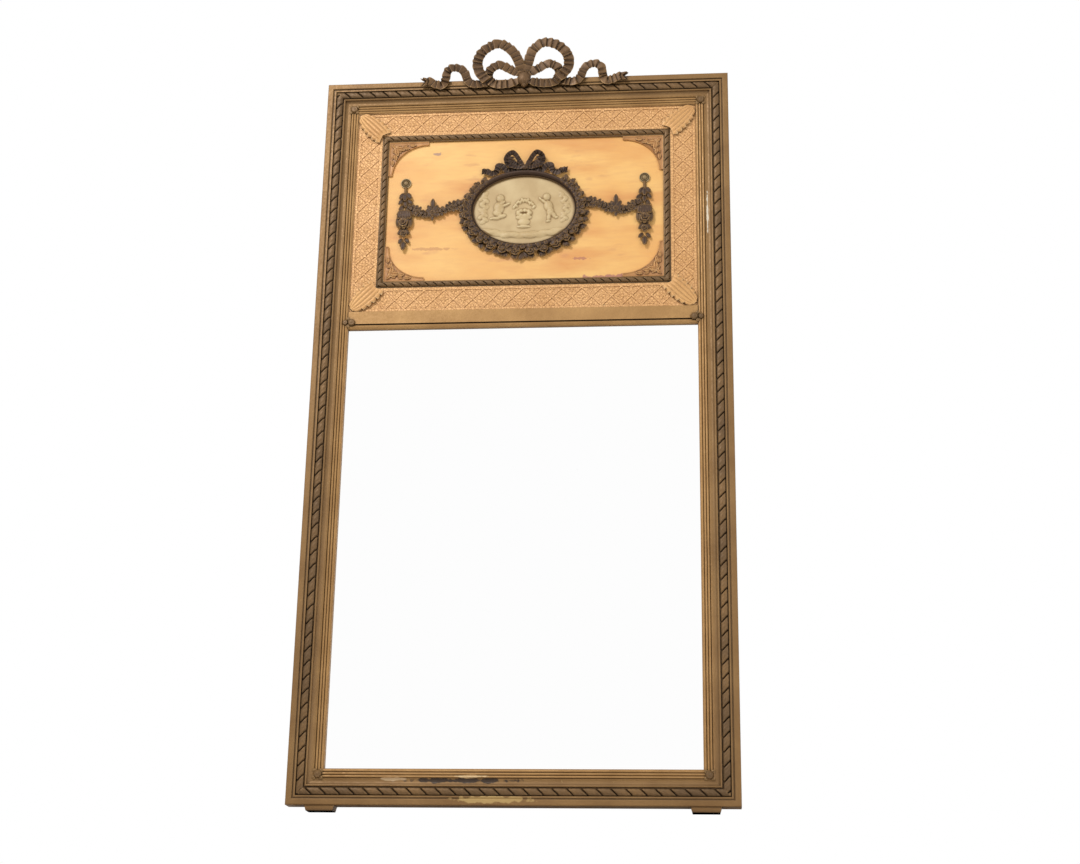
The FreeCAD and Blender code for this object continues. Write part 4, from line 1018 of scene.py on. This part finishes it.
def make_garlands():
    """A swag of leaves with a palmette in its middle, and a hanging drop, on each side."""
    chance = random.Random(5)
    line = ((134, 17), (141, 13), (149, 10), (157, 8), (165, 4), (173, 1), (181, 0), (196, -4),
            (204, -5), (212, -3), (220, 1), (227, 5), (234, 8))
    for side, way in (("right", 1), ("left", -1)):
        spots = []
        for index, (x, z) in enumerate(line):
            size = 0.82 + 0.12 * sin(1.3 * index)
            for turn in (1.0, -0.9, 2.3, -2.2):
                kind = LEAF_ROUND if (index + int(turn)) % 3 else LEAF_SMALL
                spots.append((kind, x, z, chance.uniform(1.5, 3.0),
                              turn + chance.uniform(-0.25, 0.25), size, 0.3))
            spots.append((FLOWER, x, z, 4, 0.5, 0.65, 0) if index % 4 == 2
                         else (BERRY, x, z, 6.5, 0.5, 1.0, 0))
        for kind, turn, size in ((LEAF_LONG, 1.57, 0.88), (LEAF_SMALL, 0.95, 1.15),
                                 (LEAF_SMALL, 2.2, 1.15), (LEAF_SMALL, 0.2, 1.0),
                                 (LEAF_SMALL, 2.95, 1.0), (LEAF_LONG, -1.57, 0.58),
                                 (LEAF_SMALL, -0.8, 1.0), (LEAF_SMALL, -2.35, 1.0)):
            spots.append((kind, 188.6, -1, 5, turn, size, 0.05))
        spots.append((FLOWER, 188.6, -2, 5.5, 0.3, 0.62, 0))
        swag = spray("swag_leaves_" + side, spots)
        drop, button = make_drop(side, chance)
        for piece, coat, *nodes in ((swag, DARK, "swag_" + side), (drop, DARK, "drop_" + side),
                                    (button, OLIVE)):
            if way < 0:
                mirror_mesh(piece)
            dressed(piece, coat, "dark_bronze_ornament", *nodes, smooth=60)


def make_drop(side, chance):
    """A hanging drop: a button, a fluted stem and a bunch of leaves, a rose and a bud."""
    mid, up = (DROP_X - PLAQUE.x) / MM, 68
    down = -pi / 2
    spots = []
    for x, z, turn, size, depth in (
            (3, -24, 0.55, 1.05, 3), (-3, -24, -0.55, 1.05, 3), (0, -26, 0, 1.1, 4),
            (5, -38, 0.7, 0.9, 3), (-5, -40, -0.9, 0.95, 3), (0, -42, -0.1, 1.0, 4),
            (-3, -51, -0.8, 0.8, 3), (3, -52, 0.6, 0.9, 3), (0, -106, 0.75, 1.1, 3),
            (0, -106, -0.75, 1.1, 3), (0, -106, 2.2, 0.8, 4), (0, -106, -2.2, 0.8, 4),
            (0, -108, 0, 1.1, 4), (4, -126, 0.5, 0.85, 2.5), (-4, -126, -0.6, 0.85, 2.5),
            (0, -134, 0, 1.25, 3.5)):
        spots.append((LEAF_SMALL, mid + x, up + z, depth, down + turn + chance.uniform(-0.1, 0.1),
                      size, 0.15))
    for x, turn in ((-7, -0.2), (7, 0.2), (-4, -0.1), (4, 0.1), (0, 0.0)):
        spots.append((LEAF_LONG, mid + 0.8 * x, up - 60, 2.5 + 3 * (7 - abs(x)) / 7,
                      down + 0.9 * turn, 1.35 - 0.6 * abs(turn), 0.05))
        spots.append((LEAF_SMALL, mid + x, up - 64, 6, down + 1.2 * turn, 1.3, 0.1))
    spots.append((FLOWER, mid + 1, up - 93, 7.5, 0.2, 1.1, 0))
    spots.append((FLOWER, mid, up - 116, 5, 0.6, 0.85, 0))
    for x, z in ((0, -50), (-5, -62), (5, -62), (0, -146)):
        spots.append((BERRY, mid + x, up + z, 6, 0, 0.85, 0))
    bunch = spray("drop_bunch", spots)

    top = PLAQUE.z + up * MM
    button = primitive("drop_button_" + side, bpy.ops.mesh.primitive_cylinder_add, vertices=32,
                       radius=11 * MM, depth=3 * MM, location=(DROP_X, FIELD_Y - 1.5 * MM, top),
                       rotation=(pi / 2, 0, 0))
    bpy.ops.object.mode_set(mode="EDIT")
    bpy.ops.mesh.select_all(action="DESELECT")
    bpy.ops.object.mode_set(mode="OBJECT")
    for face in button.data.polygons:
        face.select = face.normal.y < -0.9
    bpy.ops.object.mode_set(mode="EDIT")
    bpy.ops.mesh.inset(thickness=1.6 * MM)
    for rise, keep in ((-1.4, 0.97), (0.2, 0.9), (1.8, 0.9), (0.4, 0.85), (-1.2, 0.92), (1.6, 0.8),
                       (1.0, 0.7), (0.5, 0.45)):
        bpy.ops.mesh.extrude_region_move(TRANSFORM_OT_translate={"value": (0, -rise * MM, 0)})
        bpy.ops.transform.resize(value=(keep, 1, keep), center_override=(DROP_X, FIELD_Y, top))
    bpy.ops.object.mode_set(mode="OBJECT")

    stem = primitive("stem", bpy.ops.mesh.primitive_cylinder_add, vertices=20, radius=3.4 * MM,
                     depth=24 * MM, location=(DROP_X, FIELD_Y - 2.0 * MM, top - 21 * MM))
    for point in stem.data.vertices:
        around = atan2(point.co.y - FIELD_Y + 2 * MM, point.co.x - DROP_X)
        fold = 0.82 + 0.18 * abs(sin(5 * around))
        point.co.x = DROP_X + (point.co.x - DROP_X) * fold
        point.co.y = min(FIELD_Y, FIELD_Y - 2 * MM + (point.co.y - FIELD_Y + 2 * MM) * fold)
    return joined("drop_leaves_" + side, [bunch, stem]), button


# ---- bosses ----
def make_bosses():
    """A domed rosette in each inner corner, and a double ball at each end of the cross rail."""
    petal = leaf("boss_leaf", 9 * MM, 7 * MM, 0, 1.6 * MM, columns=6, rows=4, blunt=1.2)
    dome = ball("dome", 8 * MM, 0.72, 12, 20)
    for point in dome.data.vertices:
        if point.co.y < -4.6 * MM:
            point.co.y += 1.2 * MM
    low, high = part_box("corner_rosettes")
    parts = []
    for x in (low.x + 9 * MM, high.x - 9 * MM):
        for z in (low.z + 9 * MM, high.z - 9 * MM):
            parts.append(laid(dome, x, z, high.y - 0.6 * MM))
            for turn in (-0.8, 0.8, 2.35, 3.9):
                parts.append(laid(petal, x + 5 * MM * cos(turn), z + 5 * MM * sin(turn),
                                  high.y - 0.4 * MM, turn, 0.8))
    dressed(joined("corner_rosettes_carved", parts), CARVED, "bronzed_carving", "corner_rosettes")
    low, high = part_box("cross_rail_bosses")
    z = (low.z + high.z) / 2
    parts = []
    for way in (-1, 1):
        for inset, depth, size in ((19, 0.6, 0.95), (6, 0.4, 0.72)):
            parts.append(laid(dome, way * (high.x - inset * MM), z, high.y - depth * MM, 0, size))
        for turn in (1.57, -1.57):
            parts.append(laid(petal, way * (high.x - 12.5 * MM), z + 4 * MM * sin(turn),
                              high.y - 0.4 * MM, turn, 0.8))
    dressed(joined("cross_rail_bosses_carved", parts), CARVED, "bronzed_carving",
            "cross_rail_bosses")
    discard(petal, dome)


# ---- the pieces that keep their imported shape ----
def coat_nodes():
    for material, nodes in (
            (GILT, "stile_left stile_right rail_top rail_bottom cross_rail foot_left foot_right"),
            (LATTICE, "lattice_bottom lattice_right lattice_top lattice_left"),
            (FIELD, "panel_board"), (GLASS, "mirror_glass"), (STEEL, "hanger_screws"),
            (PINE, "back_plank_1 back_plank_2 back_plank_3 panel_batten_lower panel_batten_upper "
                   "glazing_blocks mitre_keys crest_pegs"),
            (IRON, "back_nails foot_nails"),
            (BRASS, "hanger_plate_left hanger_plate_right hanger_ring_left hanger_ring_right")):
        for name in nodes.split():
            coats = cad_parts[name].data.materials
            coats.clear()
            coats.append(material)


set_camera()
set_world()
set_floor()
lamp("key", (-1.5, -2.6, 2.9), (0, 0, 1.0), 0.9, 66)
lamp("fill", (2.2, -2.6, 0.9), (0, 0, 0.7), 2.0, 22)
coat_nodes()
rope_frame("rope", 27 * MM, 11 * MM, 3)
rope_frame("panel_rope", 17 * MM, 8 * MM, 2, bedded=True)
make_crest()
make_acanthus()
for level, up in (("bottom", 1), ("top", -1)):
    for side, way in (("left", 1), ("right", -1)):
        make_spandrel("spandrel_%s_%s" % (level, side), way, up)
make_lattice_flowers()
make_plaque()
make_moulding()
make_wreath()
make_medallion_bow()
make_garlands()
make_bosses()
discard(LEAF_SMALL, LEAF_ROUND, LEAF_LONG, FLOWER, BERRY)

bpy.context.scene.view_settings.view_transform = "Standard"
